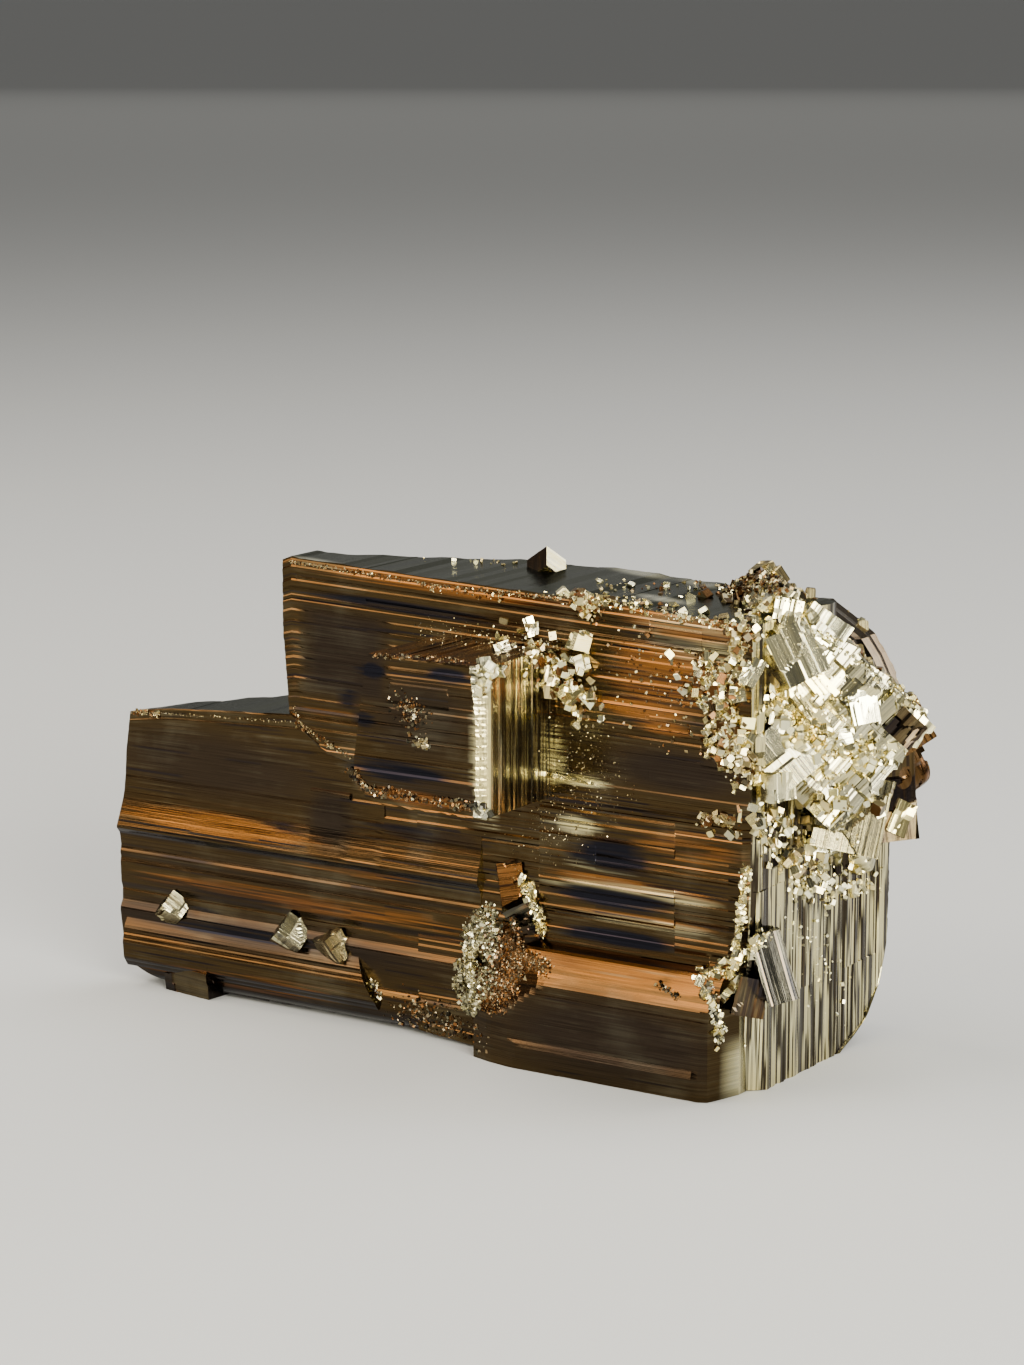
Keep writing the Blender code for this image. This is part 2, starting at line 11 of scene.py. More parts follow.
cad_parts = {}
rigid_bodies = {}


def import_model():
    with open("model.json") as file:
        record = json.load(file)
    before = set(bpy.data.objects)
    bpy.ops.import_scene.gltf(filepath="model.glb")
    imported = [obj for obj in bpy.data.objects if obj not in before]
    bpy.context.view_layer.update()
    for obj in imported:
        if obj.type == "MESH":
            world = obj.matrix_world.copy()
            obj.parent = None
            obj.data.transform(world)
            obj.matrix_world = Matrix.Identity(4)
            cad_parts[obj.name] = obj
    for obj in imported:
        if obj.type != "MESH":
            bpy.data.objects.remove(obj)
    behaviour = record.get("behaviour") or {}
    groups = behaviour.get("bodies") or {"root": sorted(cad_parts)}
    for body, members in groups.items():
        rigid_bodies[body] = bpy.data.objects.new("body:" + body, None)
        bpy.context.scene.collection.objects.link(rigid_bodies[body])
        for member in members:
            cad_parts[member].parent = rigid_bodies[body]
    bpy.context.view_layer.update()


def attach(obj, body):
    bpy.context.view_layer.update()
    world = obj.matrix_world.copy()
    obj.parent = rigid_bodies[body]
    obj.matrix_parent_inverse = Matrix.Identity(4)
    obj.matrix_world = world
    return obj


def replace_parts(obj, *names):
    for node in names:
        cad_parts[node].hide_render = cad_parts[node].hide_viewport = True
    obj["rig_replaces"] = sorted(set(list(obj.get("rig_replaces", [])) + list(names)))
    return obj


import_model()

bl_info = {
    "name": "Pyrite cluster",
    "version": (1, 0, 0),
    "blender": (4, 5, 0),
    "location": "View3D > Sidebar > Pyrite",
    "description": "Striated pyrite crystals grown through one another, with crusts of small cubes",
    "category": "Object",
}

NODE = "pyrite_cluster"
METAL = "striated_pyrite"
BODY = "root"
MM = 0.001

# Every crystal size below is in millimetres, and every angle in degrees.
FRONT = -9.3
LOWER_BACK = 19.5
LOWER_TOP = 33.0
LEFT_END = -45.9
RIGHT_END = 34.2
# Heights above which the left half's top slopes, and below which the right half's foot does
LEFT_SLOPE_FROM = 28.0
RIGHT_FLAT_FROM = 4.0
# The two halves of the lower crystal overlap between these
JOIN = (-6.0, 2.0)
# A point on the cut through the right corner, and the way that the cut faces
CORNER_BEVEL = (31.8, -9.4, 10.0)
CORNER_BEVEL_FACING = (0.72, -0.69, -0.07)
UPPER_LEFT = -22.8
UPPER_FRONT = FRONT - 0.7
UPPER_BACK = 7.6
UPPER_FOOT = 28.1
UPPER_TOP = 50.3
# How far the upper crystal's top falls for each millimetre to the right
UPPER_FALL = 0.036
RIB_BACK = -4.0
# Right ends of the rib and of the rear right crystal, and from where these bend to their outlines
RIB_END = -11.0
RIB_BEND = -20.0
BACK_RIGHT_END = 36.0
BACK_RIGHT_BEND = 12.0
BLOCK_X = (-4.9, 11.0)
BLOCK_FRONT = -22.4
BLOCK_Z = (28.2, 43.6)
TOE_X = (2.2, 32.7)
TOE_FRONT = -13.2
TOE_ROOT = 4.0
TOE_TOP = 16.2
# A point on the slope that the toe's left end is broken to, and the way that the slope faces
TOE_BREAK = (12.7, -13.2, 9.9)
TOE_BREAK_FACING = (-0.27, -0.88, 0.39)
CAP_CENTRE = (32.2, 2.9, 38.7)
CAP_SIZE = (13.0, 21.5, 15.0)
CAP_ANGLES = (-50.0, 0.0, -43.0)
BACK_FACE = 22.2

# Camera; its pixels are counted in a frame of 1024 by 1365
EYE = (210.1, -322.8, 111.5)
LENS = 98.29
TURN = 33.1
TILT = 10.9
FOCAL_PIXELS = 3727.0
MIDDLE_PIXEL = (512.0, 682.5)

# Axis that the striae of each face run along, and the axis that they are counted across,
# for faces that look along X, Y and Z
ALONG = (2, 0, 1)
ACROSS = (1, 2, 0)


# ---------------------------------------------------------------- sizes and colours

class PyriteSizes(bpy.types.PropertyGroup):
    striae_depth: bpy.props.FloatProperty(
        name="Striae depth", description="Scale of the relief of the striated faces",
        default=1.0, min=0.0, max=2.0)
    crumb_scale: bpy.props.FloatProperty(
        name="Crumb size", description="Scale of the small cubes in the crusts",
        default=1.0, min=0.4, max=1.6)
    crumb_share: bpy.props.FloatProperty(
        name="Crumb density", description="How many of the crusts' small cubes are made",
        default=1.0, min=0.05, max=1.5)
    floor_radius: bpy.props.FloatProperty(
        name="Floor radius", description="Radius of the pale floor",
        default=14.0, min=0.5, unit="LENGTH")


def colour_property(name, description, default):
    return bpy.props.FloatVectorProperty(name=name, description=description, default=default,
                                         subtype="COLOR", size=3, min=0.0, max=1.0)


class PyriteColours(bpy.types.PropertyGroup):
    # Bronze, ash, brass and straw are partly film and partly painted shade, reflection and highlight by
    # side. Amber is a painted highlight on facets that look up and in patches. Ink is blue-black film, and
    # also painted shade on facets that look down and in patches.
    brass: colour_property("Brass", "Fresh faces and crumbs", (0.84, 0.81, 0.54))
    straw: colour_property("Straw", "Yellower fresh faces", (0.78, 0.66, 0.28))
    bronze: colour_property("Bronze", "Flat bands of the tarnished faces", (0.046, 0.030, 0.0125))
    amber: colour_property("Amber", "Facets that look up on the tarnished faces", (0.255, 0.098, 0.021))
    ink: colour_property("Ink", "Blue-black film", (0.009, 0.0098, 0.0155))
    ash: colour_property("Ash", "Dull film on the tops", (0.060, 0.062, 0.052))
    ash_edge: colour_property("Ash at a slant", "Tops seen at a slant", (0.50, 0.505, 0.47))
    floor: colour_property("Floor", "Pale floor", (0.60, 0.60, 0.58))


# ---------------------------------------------------------------- seeing

def camera_axes():
    """Right, up and back of the camera."""
    turn, tilt = math.radians(TURN), math.radians(TILT)
    right = Vector((math.cos(turn), math.sin(turn), 0.0))
    back = Vector((math.sin(turn) * math.cos(tilt), -math.cos(turn) * math.cos(tilt), math.sin(tilt)))
    return right, back.cross(right), back


def sight(px, py):
    """Direction in which the camera sees a pixel."""
    right, up, back = camera_axes()
    return (right * ((px - MIDDLE_PIXEL[0]) / FOCAL_PIXELS)
            + up * ((MIDDLE_PIXEL[1] - py) / FOCAL_PIXELS) - back).normalized()


def pixels(places):
    """Pixels at which the camera sees places that are given in millimetres."""
    right, up, back = (np.array(axis) for axis in camera_axes())
    offset = places - np.array(EYE)
    depth = -(offset @ back)
    return np.stack([MIDDLE_PIXEL[0] + FOCAL_PIXELS * (offset @ right) / depth,
                     MIDDLE_PIXEL[1] - FOCAL_PIXELS * (offset @ up) / depth], axis=1)


# ---------------------------------------------------------------- relief

# The close pair of cuts at a break: half of their gap, and how far the other cuts keep away
BREAK_GAP = 0.03
BREAK_CLEARANCE = 0.1


def cuts(low, high, pitch, dice, breaks=()):
    """Places to cut a side at: uneven steps of about one pitch, and a close pair at each break."""
    count = max(2, round((high - low) / pitch))
    inner = [low + (high - low) * (step + dice.uniform(-0.3, 0.3)) / count for step in range(1, count)]
    for place in breaks:
        inner = [cut for cut in inner if abs(cut - place) > BREAK_CLEARANCE]
        inner += [place - BREAK_GAP, place + BREAK_GAP]
    return np.array(sorted([low] + inner + [high]))


def bands(count, dice, widths, depth):
    """Level at each line across a face: flat bands, with one facet between each two."""
    levels = np.zeros(count)
    line, level = 0, 0.0
    while line < count:
        width = dice.randint(*widths)
        levels[line:line + width] = level
        line += width
        level = depth * dice.uniform(-1.0, 0.5)
    return levels


# Length of the streaks, and the percentiles of their noise that become 0 and 1
DRIFT = 12.0
DRIFT_RANGE = (4, 96)
# Seeds of the noise are drawn below this
SEEDS = 10 ** 6


def drift(rows, columns, dice, reach):
    """Streaks from 0 to 1 that fade in and out along a face."""
    noise = np.random.default_rng(dice.randrange(SEEDS)).random((rows, columns)) - 0.5
    if rows > 3:
        window = np.hanning(min(rows, reach + 2))
        noise = np.apply_along_axis(lambda line: np.convolve(line, window, mode="same"), 0, noise)
    low, high = np.percentile(noise, DRIFT_RANGE)
    return np.clip((noise - low) / (high - low + 1e-9), 0.0, 1.0)


# How square the facets are, against diamonds, and how far one may rise from its middle
SQUARENESS = 0.6
FACET_REACH = 0.8


def mosaic(along, across, dice, count, tilt, step):
    """Heights and tones of a face that is broken into tilted facets."""
    noise = np.random.default_rng(dice.randrange(SEEDS))
    spread = np.array((along[-1] - along[0], across[-1] - across[0]))
    seeds = noise.random((count, 2)) * spread + np.array((along[0], across[0]))
    tilts = noise.normal(0.0, tilt, (count, 2))
    lifts, tones = noise.uniform(-step, step, count), noise.random(count)

    def nearest(first, second):
        grid = np.stack(np.meshgrid(first, second, indexing="ij"), axis=-1)
        away = grid[:, :, None, :] - seeds
        which = np.argmin(np.abs(away).sum(axis=3) + SQUARENESS * np.abs(away).max(axis=3), axis=2)
        return grid, which
    grid, which = nearest(along, across)
    leaning = ((grid - seeds[which]) * tilts[which]).sum(axis=2)
    height = np.clip(leaning, -FACET_REACH, FACET_REACH) + lifts[which]
    return height, tones[nearest(along, (across[1:] + across[:-1]) / 2)[1]]


# Depth of the fine bands, of a patch's own bands and of the coarse bands under a patch, as shares
FINE_SHARE = 0.35
PATCH_BANDS = 0.5
UNDER_PATCH = 0.6
# How much of a strip's tone comes from streaks, and the rest from bands
STREAKS = 0.6


def striated(along, across, dice, depth, widths, breaks, patches, panels=()):
    """Heights where the lines of a face cross, and tones along the strips between its striae.

    A panel has its start and end along the striae, its start and end across them, and its rise.
    """
    rows, columns = len(along), len(across)
    coarse = bands(columns, dice, widths, depth)
    fine = bands(columns, dice, (1, 3), depth * FINE_SHARE)
    height = np.tile(coarse + fine, (rows, 1))
    tone = np.tile(bands(columns - 1, dice, (1, 3), 0.5) / 1.5 + 0.5, (rows, 1))
    reach = max(3, round(DRIFT * rows / (along[-1] - along[0] + 1e-6)))
    tone = (1.0 - STREAKS) * tone + STREAKS * drift(rows, columns - 1, dice, reach)
    edges = [0] + [int(np.searchsorted(along, place)) for place in sorted(breaks)] + [rows]
    for _ in range(patches if columns > 8 else 0):
        first, last = sorted(dice.sample(range(len(edges)), 2))
        first, last = edges[first], edges[last]
        start = dice.randrange(0, columns - 4)
        end = min(columns, start + dice.randint(2, max(4, columns // 7)))
        own = bands(end - start, dice, (1, widths[1]), depth * PATCH_BANDS)
        shift = depth * dice.uniform(-0.7, 0.5)
        height[first:last, start:end] = coarse[start:end] * UNDER_PATCH + own + shift
    for start, end, low, high, rise in panels:
        on = np.outer((along > start) & (along < end), (across > low) & (across < high))
        height = np.where(on, np.tile(bands(columns, dice, widths, depth), (rows, 1)) + rise, height)
    return height, tone


def grid_box(counts):
    """A closed unit box, cut into a grid."""
    shape = bmesh.new()
    bmesh.ops.create_cube(shape, size=1.0)
    for axis, count in enumerate(counts):
        whole = [edge for edge in shape.edges
                 if abs(edge.verts[0].co[axis] - edge.verts[1].co[axis]) > 0.5]
        if count > 1:
            bmesh.ops.subdivide_edges(shape, edges=whole, cuts=count - 1, use_grid_fill=True)
    return shape


# Steps of a smooth run
FINE_STEPS = 400


def smooth_run(points, width=15):
    """A smooth function through (place, value) points, softened over so many of its fine steps."""
    places, values = zip(*points)
    fine = np.linspace(places[0], places[-1], FINE_STEPS)
    held = np.interp(fine, places, values)
    kernel = np.hanning(width)
    kernel /= kernel.sum()
    padded = np.concatenate([np.full(width // 2, held[0]), held, np.full(width // 2, held[-1])])
    soft = np.convolve(padded, kernel, mode="valid")
    return lambda at: np.interp(at, fine, soft)


def run(points):
    """A function of straight stretches through (place, value) points."""
    places, values = zip(*points)
    return lambda at: np.interp(at, places, values)


# ---------------------------------------------------------------- films of tarnish, painted highlights and painted shade

# Patches of film, painted highlight and painted shade on the faces in sight, by kind: pixel across,
# pixel down, half width, half height and strength. The pale kind lies on what looks right or up, and
# the others on what looks to the front, apart from the fresh kind, which lies on both. The calm kind
# is smoother relief. The amber and straw kinds are painted highlights, the kind that dims the amber
# is painted shade, and the ink kind is blue-black film with painted shadow between crystals in places.
PATCHES = {
    "calm": (
        (345, 655, 36, 38, 2.4), (640, 766, 110, 34, 0.85), (590, 745, 60, 30, 0.9),
        (215, 765, 120, 30, 0.6), (240, 850, 150, 56, 0.6), (430, 606, 130, 16, 0.5),
        (620, 1040, 130, 40, 0.5),
    ),
    # Blue-black film, with painted shadow between the small crystals in places
    "ink": (
        (612, 856, 44, 18, 1.0), (614, 899, 64, 11, 1.0), (618, 938, 60, 11, 1.0),
        (600, 812, 40, 14, 0.45), (372, 671, 16, 9, 1.0), (448, 676, 26, 10, 0.9),
        (364, 719, 14, 9, 0.9), (400, 772, 60, 12, 0.9), (400, 607, 110, 7, 0.8),
        (282, 828, 24, 8, 0.7), (430, 836, 80, 10, 0.6), (350, 700, 12, 14, 0.7),
        (196, 912, 34, 8, 0.5), (660, 640, 60, 8, 0.6), (690, 690, 60, 10, 0.8), (630, 700, 30, 6, 0.7),
        (560, 672, 20, 14, 0.7), (240, 934, 120, 9, 0.8),
    ),
    # Painted shade: dims the amber and adds ink
    "painted_shade": (
        (345, 655, 36, 38, 2.0), (675, 772, 75, 24, 1.0), (215, 765, 110, 34, 0.8),
        (330, 818, 24, 34, 1.0), (610, 1040, 130, 44, 1.0), (420, 715, 56, 44, 0.8),
        (250, 896, 120, 8, 0.8), (220, 941, 110, 7, 0.8), (440, 790, 80, 16, 0.6),
        (560, 960, 30, 8, 0.5), (270, 937, 190, 20, 1.0), (160, 914, 70, 16, 1.0),
        (270, 876, 190, 12, 0.55),
    ),
    # Painted highlights of yellow light
    "straw": (
        (574, 780, 40, 6, 1.0), (576, 826, 22, 12, 0.9), (552, 756, 16, 40, 0.7),
        (604, 868, 40, 6, 0.5), (560, 880, 26, 10, 0.4), (486, 750, 15, 76, 1.2),
        (318, 566, 28, 3, 0.6), (615, 972, 96, 12, 0.3), (640, 891, 96, 7, 0.8), (650, 924, 96, 6, 0.8),
        (690, 640, 64, 36, 0.55),
    ),
    # Painted highlights of orange light on the strips
    "amber": (
        (640, 708, 50, 11, 1.0), (718, 630, 32, 12, 1.0), (660, 660, 60, 20, 0.8),
        (665, 728, 30, 8, 0.9), (600, 966, 90, 16, 1.0), (685, 985, 22, 14, 1.0),
        (640, 888, 100, 8, 0.8), (650, 922, 100, 7, 0.7), (215, 826, 110, 14, 0.9),
        (350, 870, 80, 8, 0.5), (430, 585, 150, 10, 0.7), (690, 850, 60, 24, 0.5),
        (300, 903, 200, 11, 0.6), (250, 984, 130, 9, 0.5), (420, 868, 60, 16, 0.4),
        (420, 930, 50, 26, 0.35), (294, 640, 8, 60, 0.35), (420, 799, 56, 7, 1.0),
        (330, 712, 40, 8, 0.5), (690, 622, 66, 22, 0.9), (668, 684, 80, 34, 0.7),
    ),
    "fresh": (
        (741, 1070, 9, 28, 1.0),
    ),
    "satin": (
        (615, 968, 100, 20, 0.45),
    ),
    "pale": (
        (486, 750, 13, 70, 1.0), (318, 563, 30, 4, 1.0), (640, 572, 30, 4, 0.8), (662, 599, 24, 3, 0.9),
        (744, 900, 8, 44, 0.9), (700, 583, 20, 4, 0.6),
    ),
}
# Patches slope as the front's striae do in the camera's view
PATCH_SLOPE = math.tan(math.radians(9.5))
# Patches stronger than this are rectangles, and the others are ellipses
RECTANGLE_FROM = 1.2
# A patch's share: this at its middle, less the fade for each half width away, held from 0 to 1
PATCH_SHARE = 1.7
PATCH_FADE = 1.3

# How each face of a crystal is coated: bronze, ash, share of inky striae, amber and straw. These
# are partly film and partly painted light by side: the bronze on faces that look to the front is
# painted shade, the brass and straw on those that look right a painted highlight, and the ash on
# tops a painted reflection of grey surroundings.
COATS_AND_SHADE = {
    "front": (1.0, 0.0, 0.10, 0.0, 0.0), "right": (0.12, 0.0, 0.45, 0.0, 0.55),
    "top": (0.25, 1.0, 0.04, 0.0, 0.0), "back": (0.75, 0.0, 0.14, 0.0, 0.1),
    "left": (0.85, 0.0, 0.12, 0.0, 0.0), "bottom": (0.7, 0.5, 0.05, 0.0, 0.0),
}
# The side that each face is on, by its axis and the end of that axis
FACES = {(0, 0): "left", (0, 1): "right", (1, 0): "front", (1, 1): "back",
         (2, 0): "bottom", (2, 1): "top"}
FRONT_FACE = (1, 0)
# Slopes across the striae at which facets start to take amber as a painted highlight and ink as a
# painted shade, and at which these are whole
LIT_SLOPES = (0.06, 0.40)
SHADED_SLOPES = (0.10, 0.50)
# What looks to the front has its normal's Y below the first; pale patches lie where it is above
# the second
FRONT_LOOK = -0.35
PALE_LOOK = -0.6
# Amber doesn't cover ink that is thicker than this, nor ink amber
THICK_FILM = 0.6


def patch_strength(kind, seen):
    """How strongly the patches of one kind cover what is seen at these pixels."""
    total = np.zeros(len(seen))
    for across, down, half_width, half_height, strength in PATCHES[kind]:
        right = seen[:, 0] - across
        below = seen[:, 1] - down - right * PATCH_SLOPE
        reach = np.hypot(right / half_width, below / half_height)
        if strength > RECTANGLE_FROM:
            reach = np.maximum(np.abs(right / half_width), np.abs(below / half_height))
        total = np.maximum(total, strength * np.clip(PATCH_SHARE - reach * PATCH_FADE, 0.0, 1.0))
    return total


def ramp(values, low, high):
    return np.clip((values - low) / (high - low), 0.0, 1.0)


# ---------------------------------------------------------------- meshes

def read(items, what, width=1, kind=np.float32):
    """One value, or a row of values, for each vertex, corner or face of a mesh."""
    values = np.empty(len(items) * width, dtype=kind)
    items.foreach_get(what, values)
    return values.reshape(-1, width) if width > 1 else values


def write(items, what, values):
    items.foreach_set(what, np.asarray(values, dtype=np.float32).ravel())


def meshed(shape, name):
    """A mesh made from a bmesh, which is freed."""
    mesh = bpy.data.meshes.new(name)
    shape.to_mesh(mesh)
    shape.free()
    return mesh


def shown(name, mesh, material):
    """An object in the scene, made from a mesh and a material."""
    mesh.materials.append(material)
    thing = bpy.data.objects.new(name, mesh)
    bpy.context.scene.collection.objects.link(thing)
    return thing


def kept(piece):
    """Give a finished piece its body and slot; it stands for the solid."""
    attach(piece, BODY)
    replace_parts(piece, NODE)
    return piece


def joined(name, things):
    """One piece from several."""
    first = things[0]
    if len(things) > 1:
        with bpy.context.temp_override(active_object=first, object=first, selected_objects=things,
                                       selected_editable_objects=things):
            bpy.ops.object.join()
    first.name = name
    first.data.name = name
    return first


def placed(centre, angles):
    """Matrix for a centre and three angles: a roll, then a lean that lifts +X, then a turn about Z."""
    turn, lean, roll = (math.radians(angle) for angle in angles)
    return (Matrix.Translation(Vector(centre)) @ Matrix.Rotation(turn, 4, "Z")
            @ Matrix.Rotation(-lean, 4, "Y") @ Matrix.Rotation(roll, 4, "X"))


# ---------------------------------------------------------------- crystals

# How much of its relief a face keeps where the calm patches are strongest
CALMEST = 0.1
# Vertices that are closer than this, in metres, become one, and shorter edges go
MERGE_DISTANCE = 2e-6
SHORTEST_EDGE = 1e-6
# Scale of the grain's coordinates, and what sets those of one face apart from the next
GRAIN_SCALE = 0.1
GRAIN_SHIFT = 40.0


def crystal(name, low, high, pitch, depth, seed, widths=(2, 6), breaks=((), (), ()), patches=2,
            bend=None, matrix=None, coats=None, patched=False, panels=(), broken=()):
    """A striated crystal: a grid box whose faces carry relief and films.

    pitch has the spacing of the cuts along X, Y and Z. depth has the relief of the faces that look
    along X, Y and Z. bend reshapes the places of the vertices, and matrix puts them in place.
    """
    dice = random.Random(seed)
    scale = bpy.context.scene.pyrite_sizes.striae_depth
    lines = [cuts(low[axis], high[axis], pitch[axis], dice, breaks[axis]) for axis in range(3)]
    counts = [len(line) - 1 for line in lines]
    mesh = meshed(grid_box(counts), name)
    index = np.rint((read(mesh.vertices, "co", 3) + 0.5) * np.array(counts)).astype(int)
    corners = read(mesh.loops, "vertex_index", kind=np.int32).reshape(-1, 4)
    flat = np.stack([lines[axis][index[:, axis]] for axis in range(3)], axis=1)
    places = bend(flat) if bend else flat.copy()
    tone = np.full((len(corners), 4), 0.5)
    facing = np.zeros((len(corners), 2), dtype=int)
    grain = np.zeros((len(corners), 4, 2))
    for axis, side in FACES:
        along, across = ALONG[axis], ACROSS[axis]
        front = (axis, side) == FRONT_FACE
        height, tones = striated(lines[along], lines[across], dice, depth[axis] * scale, widths,
                                 breaks[along], patches, panels if front else ())
        if broken and FACES[axis, side] in broken[0]:
            facets, facet_tones = mosaic(lines[along], lines[across], dice, *broken[1:])
            height = height + facets
            tones = 0.5 * tones + 0.5 * facet_tones
        end = side * counts[axis]
        on = index[:, axis] == end
        rise = height[index[on, along], index[on, across]]
        if patched and front:
            calm = patch_strength("calm", pixels(places[on]))
            rise = rise * (1.0 - np.clip(calm, 0.0, 1.0 - CALMEST))
        places[on, axis] += (2 * side - 1) * rise
        cells = np.all(index[corners, axis] == end, axis=1)
        met = index[corners[cells]]
        tone[cells] = tones[met[:, :, along], met[:, :, across].min(axis=1, keepdims=True)]
        facing[cells] = (axis, side)
        grain[cells, :, 0] = flat[corners[cells], along]
        grain[cells, :, 1] = flat[corners[cells], across] + GRAIN_SHIFT * (axis * 2 + side)

    put = places
    if matrix is not None:
        put = places @ np.array(matrix.to_3x3()).T + np.array(matrix.translation)
    put[:, 2] = np.maximum(put[:, 2], 0.0)
    write(mesh.vertices, "co", put * MM)
    mesh.update()
    local = mesh.copy()
    write(local.vertices, "co", places)
    local.update()
    normals = read(local.polygons, "normal", 3)
    bpy.data.meshes.remove(local)
    films(mesh, np.repeat(normals, 4, axis=0), np.repeat(facing, 4, axis=0), tone.ravel(), coats or {},
          patched)
    write(mesh.uv_layers.new(name="grain").data, "uv", grain.reshape(-1, 2) * GRAIN_SCALE)

    shape = bmesh.new()
    shape.from_mesh(mesh)
    bmesh.ops.remove_doubles(shape, verts=shape.verts, dist=MERGE_DISTANCE)
    bmesh.ops.dissolve_degenerate(shape, edges=shape.edges, dist=SHORTEST_EDGE)
    shape.to_mesh(mesh)
    shape.free()
    return shown(name, mesh, bpy.data.materials[METAL])


def loose_crystal(name, size, place, pitch, depth, seed, **more):
    """A crystal of this size about its own middle, put in place by a matrix."""
    half = [extent / 2 for extent in size]
    return crystal(name, [-extent for extent in half], half, pitch, depth, seed, matrix=place, **more)


def coated(finish, least, share):
    """One coat for every face, after a finish: its ink is the least and a share of the finish's."""
    bronze, amber, ink, straw, ash, _ = FINISHES[finish]
    return {face: (bronze, ash, least + ink * share, amber, straw) for face in COATS_AND_SHADE}


def films(mesh, normals, facing, tone, coats, patched):
    """Film and finish at the corners of each face, with painted highlight and painted shade: bronze, amber,
    ink, straw, ash and frost.
    """
    film = np.zeros((6, len(tone)))
    bronze, amber, ink, straw, ash, _ = film
    for axis, side in FACES:
        cells = (facing[:, 0] == axis) & (facing[:, 1] == side)
        face = FACES[axis, side]
        coat, dull, inky, warm, yellow = coats.get(face, COATS_AND_SHADE[face])
        slope = normals[cells, ACROSS[axis]]
        here = tone[cells]
        bronze[cells] = coat * (1.0 - 0.07 * here ** 2)
        ash[cells] = dull
        amber[cells] = warm * (0.4 + 0.6 * here)
        straw[cells] = yellow * (0.4 + 1.2 * here)
        ink[cells] = np.clip((inky * 2 - here) / (inky * 2 + 0.01), 0.0, 1.0) ** 0.5 * 0.9
        if coat > 0.5 and axis < 2:
            # On coated upright faces, facets that look up get amber as a painted highlight, and those that
            # look down get ink as a painted shade
            lit = coat * ramp(slope, *LIT_SLOPES) * (0.05 + 0.95 * here ** 1.4)
            amber[cells] = np.maximum(amber[cells], lit)
            ink[cells] = np.maximum(ink[cells], ramp(-slope, *SHADED_SLOPES) * 0.75)
        elif axis == 0:
            # On fresh ends, striae go from dark to yellow with little between: painted shade and painted
            # highlights on the striae, by their tone
            stark = np.clip((here - 0.5) * 4.2 + 0.44, 0.0, 1.0)
            dark = np.clip(1.15 - stark * 1.3, 0.0, 0.95) * min(1.0, inky * 2.4)
            ink[cells] = dark * 0.5
            bronze[cells] = np.maximum(bronze[cells], dark)
            straw[cells] = yellow * stark
    if patched:
        patch_films(mesh, tone, film)
    # The surface reads these two as vectors; they carry painted highlight and painted shade as well as film
    for name, layers in (("film", film[:3]), ("finish", film[3:])):
        write(mesh.attributes.new(name, "FLOAT_VECTOR", "CORNER").data, "vector", layers.T)


def patch_films(mesh, tone, film):
    """Lay the patches of film, painted highlight and painted shade over the faces in sight."""
    bronze, amber, ink, straw, ash, frost = film
    seen = pixels(read(mesh.vertices, "co", 3)[read(mesh.loops, "vertex_index", kind=np.int32)] / MM)
    looks = np.repeat(read(mesh.polygons, "normal", 3)[:, 1], 4)
    front = looks < FRONT_LOOK

    def spread(kind, gain, whole):
        """How far a kind has spread: it takes the lighter strips first, and most at its middle."""
        return ramp(patch_strength(kind, seen) * front * gain + tone, 1.0, whole)

    # Painted shade: dims the amber and adds ink
    strength = np.minimum(patch_strength("painted_shade", seen), 1.0) * front
    amber *= 1.0 - 0.85 * strength
    ink[:] = np.maximum(ink, 0.5 * strength)
    # Painted highlight: amber spreads over the lighter strips
    amber[:] = np.maximum(amber, spread("amber", 1.4, 1.5) * 0.8 * (ink < THICK_FILM))
    # Painted highlight: yellow straw, which takes the bronze and amber away
    lit = spread("straw", 1.3, 1.9)
    straw[:] = np.maximum(straw, lit)
    bronze *= 1.0 - lit * 0.85
    amber *= 1.0 - lit * 0.8
    # Blue-black film, and painted shadow in places
    ink[:] = np.maximum(ink, spread("ink", 1.4, 1.6) * 0.95 * (amber < THICK_FILM))
    frost[:] = np.maximum(frost, patch_strength("satin", seen) * front)
    strength = patch_strength("pale", seen) * (looks > PALE_LOOK)
    bronze *= 1.0 - strength
    ash *= 1.0 - strength
    ink *= 1.0 - 0.9 * strength
    strength = patch_strength("fresh", seen)
    bronze *= 1.0 - strength * (0.5 + 0.5 * tone)
    amber *= 1.0 - strength


# ---------------------------------------------------------------- shapes of the large crystals

# Outlines, by height or by place along X: each gives the other coordinate of an edge, except that
# LEFT_RIBS gives how far the left half's front stands out
LEFT_RIBS = smooth_run(((0.6, -0.9), (1.2, -0.2), (2.2, 0.25), (4.0, 0.3), (4.5, -0.05), (5.8, 0.1),
                        (8.4, 0.5), (8.9, 0.42), (9.5, 0.05), (11.0, 0.0), (11.4, 0.22), (14.1, 0.3),
                        (14.5, 0.15), (15.0, 0.4), (15.6, 0.1), (17.3, 0.35), (17.8, 0.95),
                        (19.2, 0.62), (21.2, 0.2), (24.0, 0.0), (LOWER_TOP, 0.05)), 13)
LEFT_EDGE = smooth_run(((0.6, -39.4), (1.0, -41.8), (2.0, -43.8), (3.2, -45.2), (5.2, LEFT_END),
                        (17.8, LEFT_END), (22.0, -45.3), (26.5, -45.0), (31.1, -44.3), (33.0, -43.8)))
LEFT_BACK = run(((LEFT_END, -8.5), (-43.6, -8.2), (-41.6, -7.6), (-38.6, -4.2), (-36.0, -3.8),
                 (-34.0, -0.6), (-31.6, -0.3), (-30.2, 1.9), (-26.0, 3.0), (-23.0, 8.4), (-17.0, 9.6),
                 (-13.0, LOWER_BACK), (JOIN[1], LOWER_BACK)))
LEFT_TOP = run(((LEFT_END, 30.9), (-43.6, 31.3), (-40.2, 31.8), (-32.0, 32.4), (-21.0, 33.1),
                (JOIN[1], 33.1)))
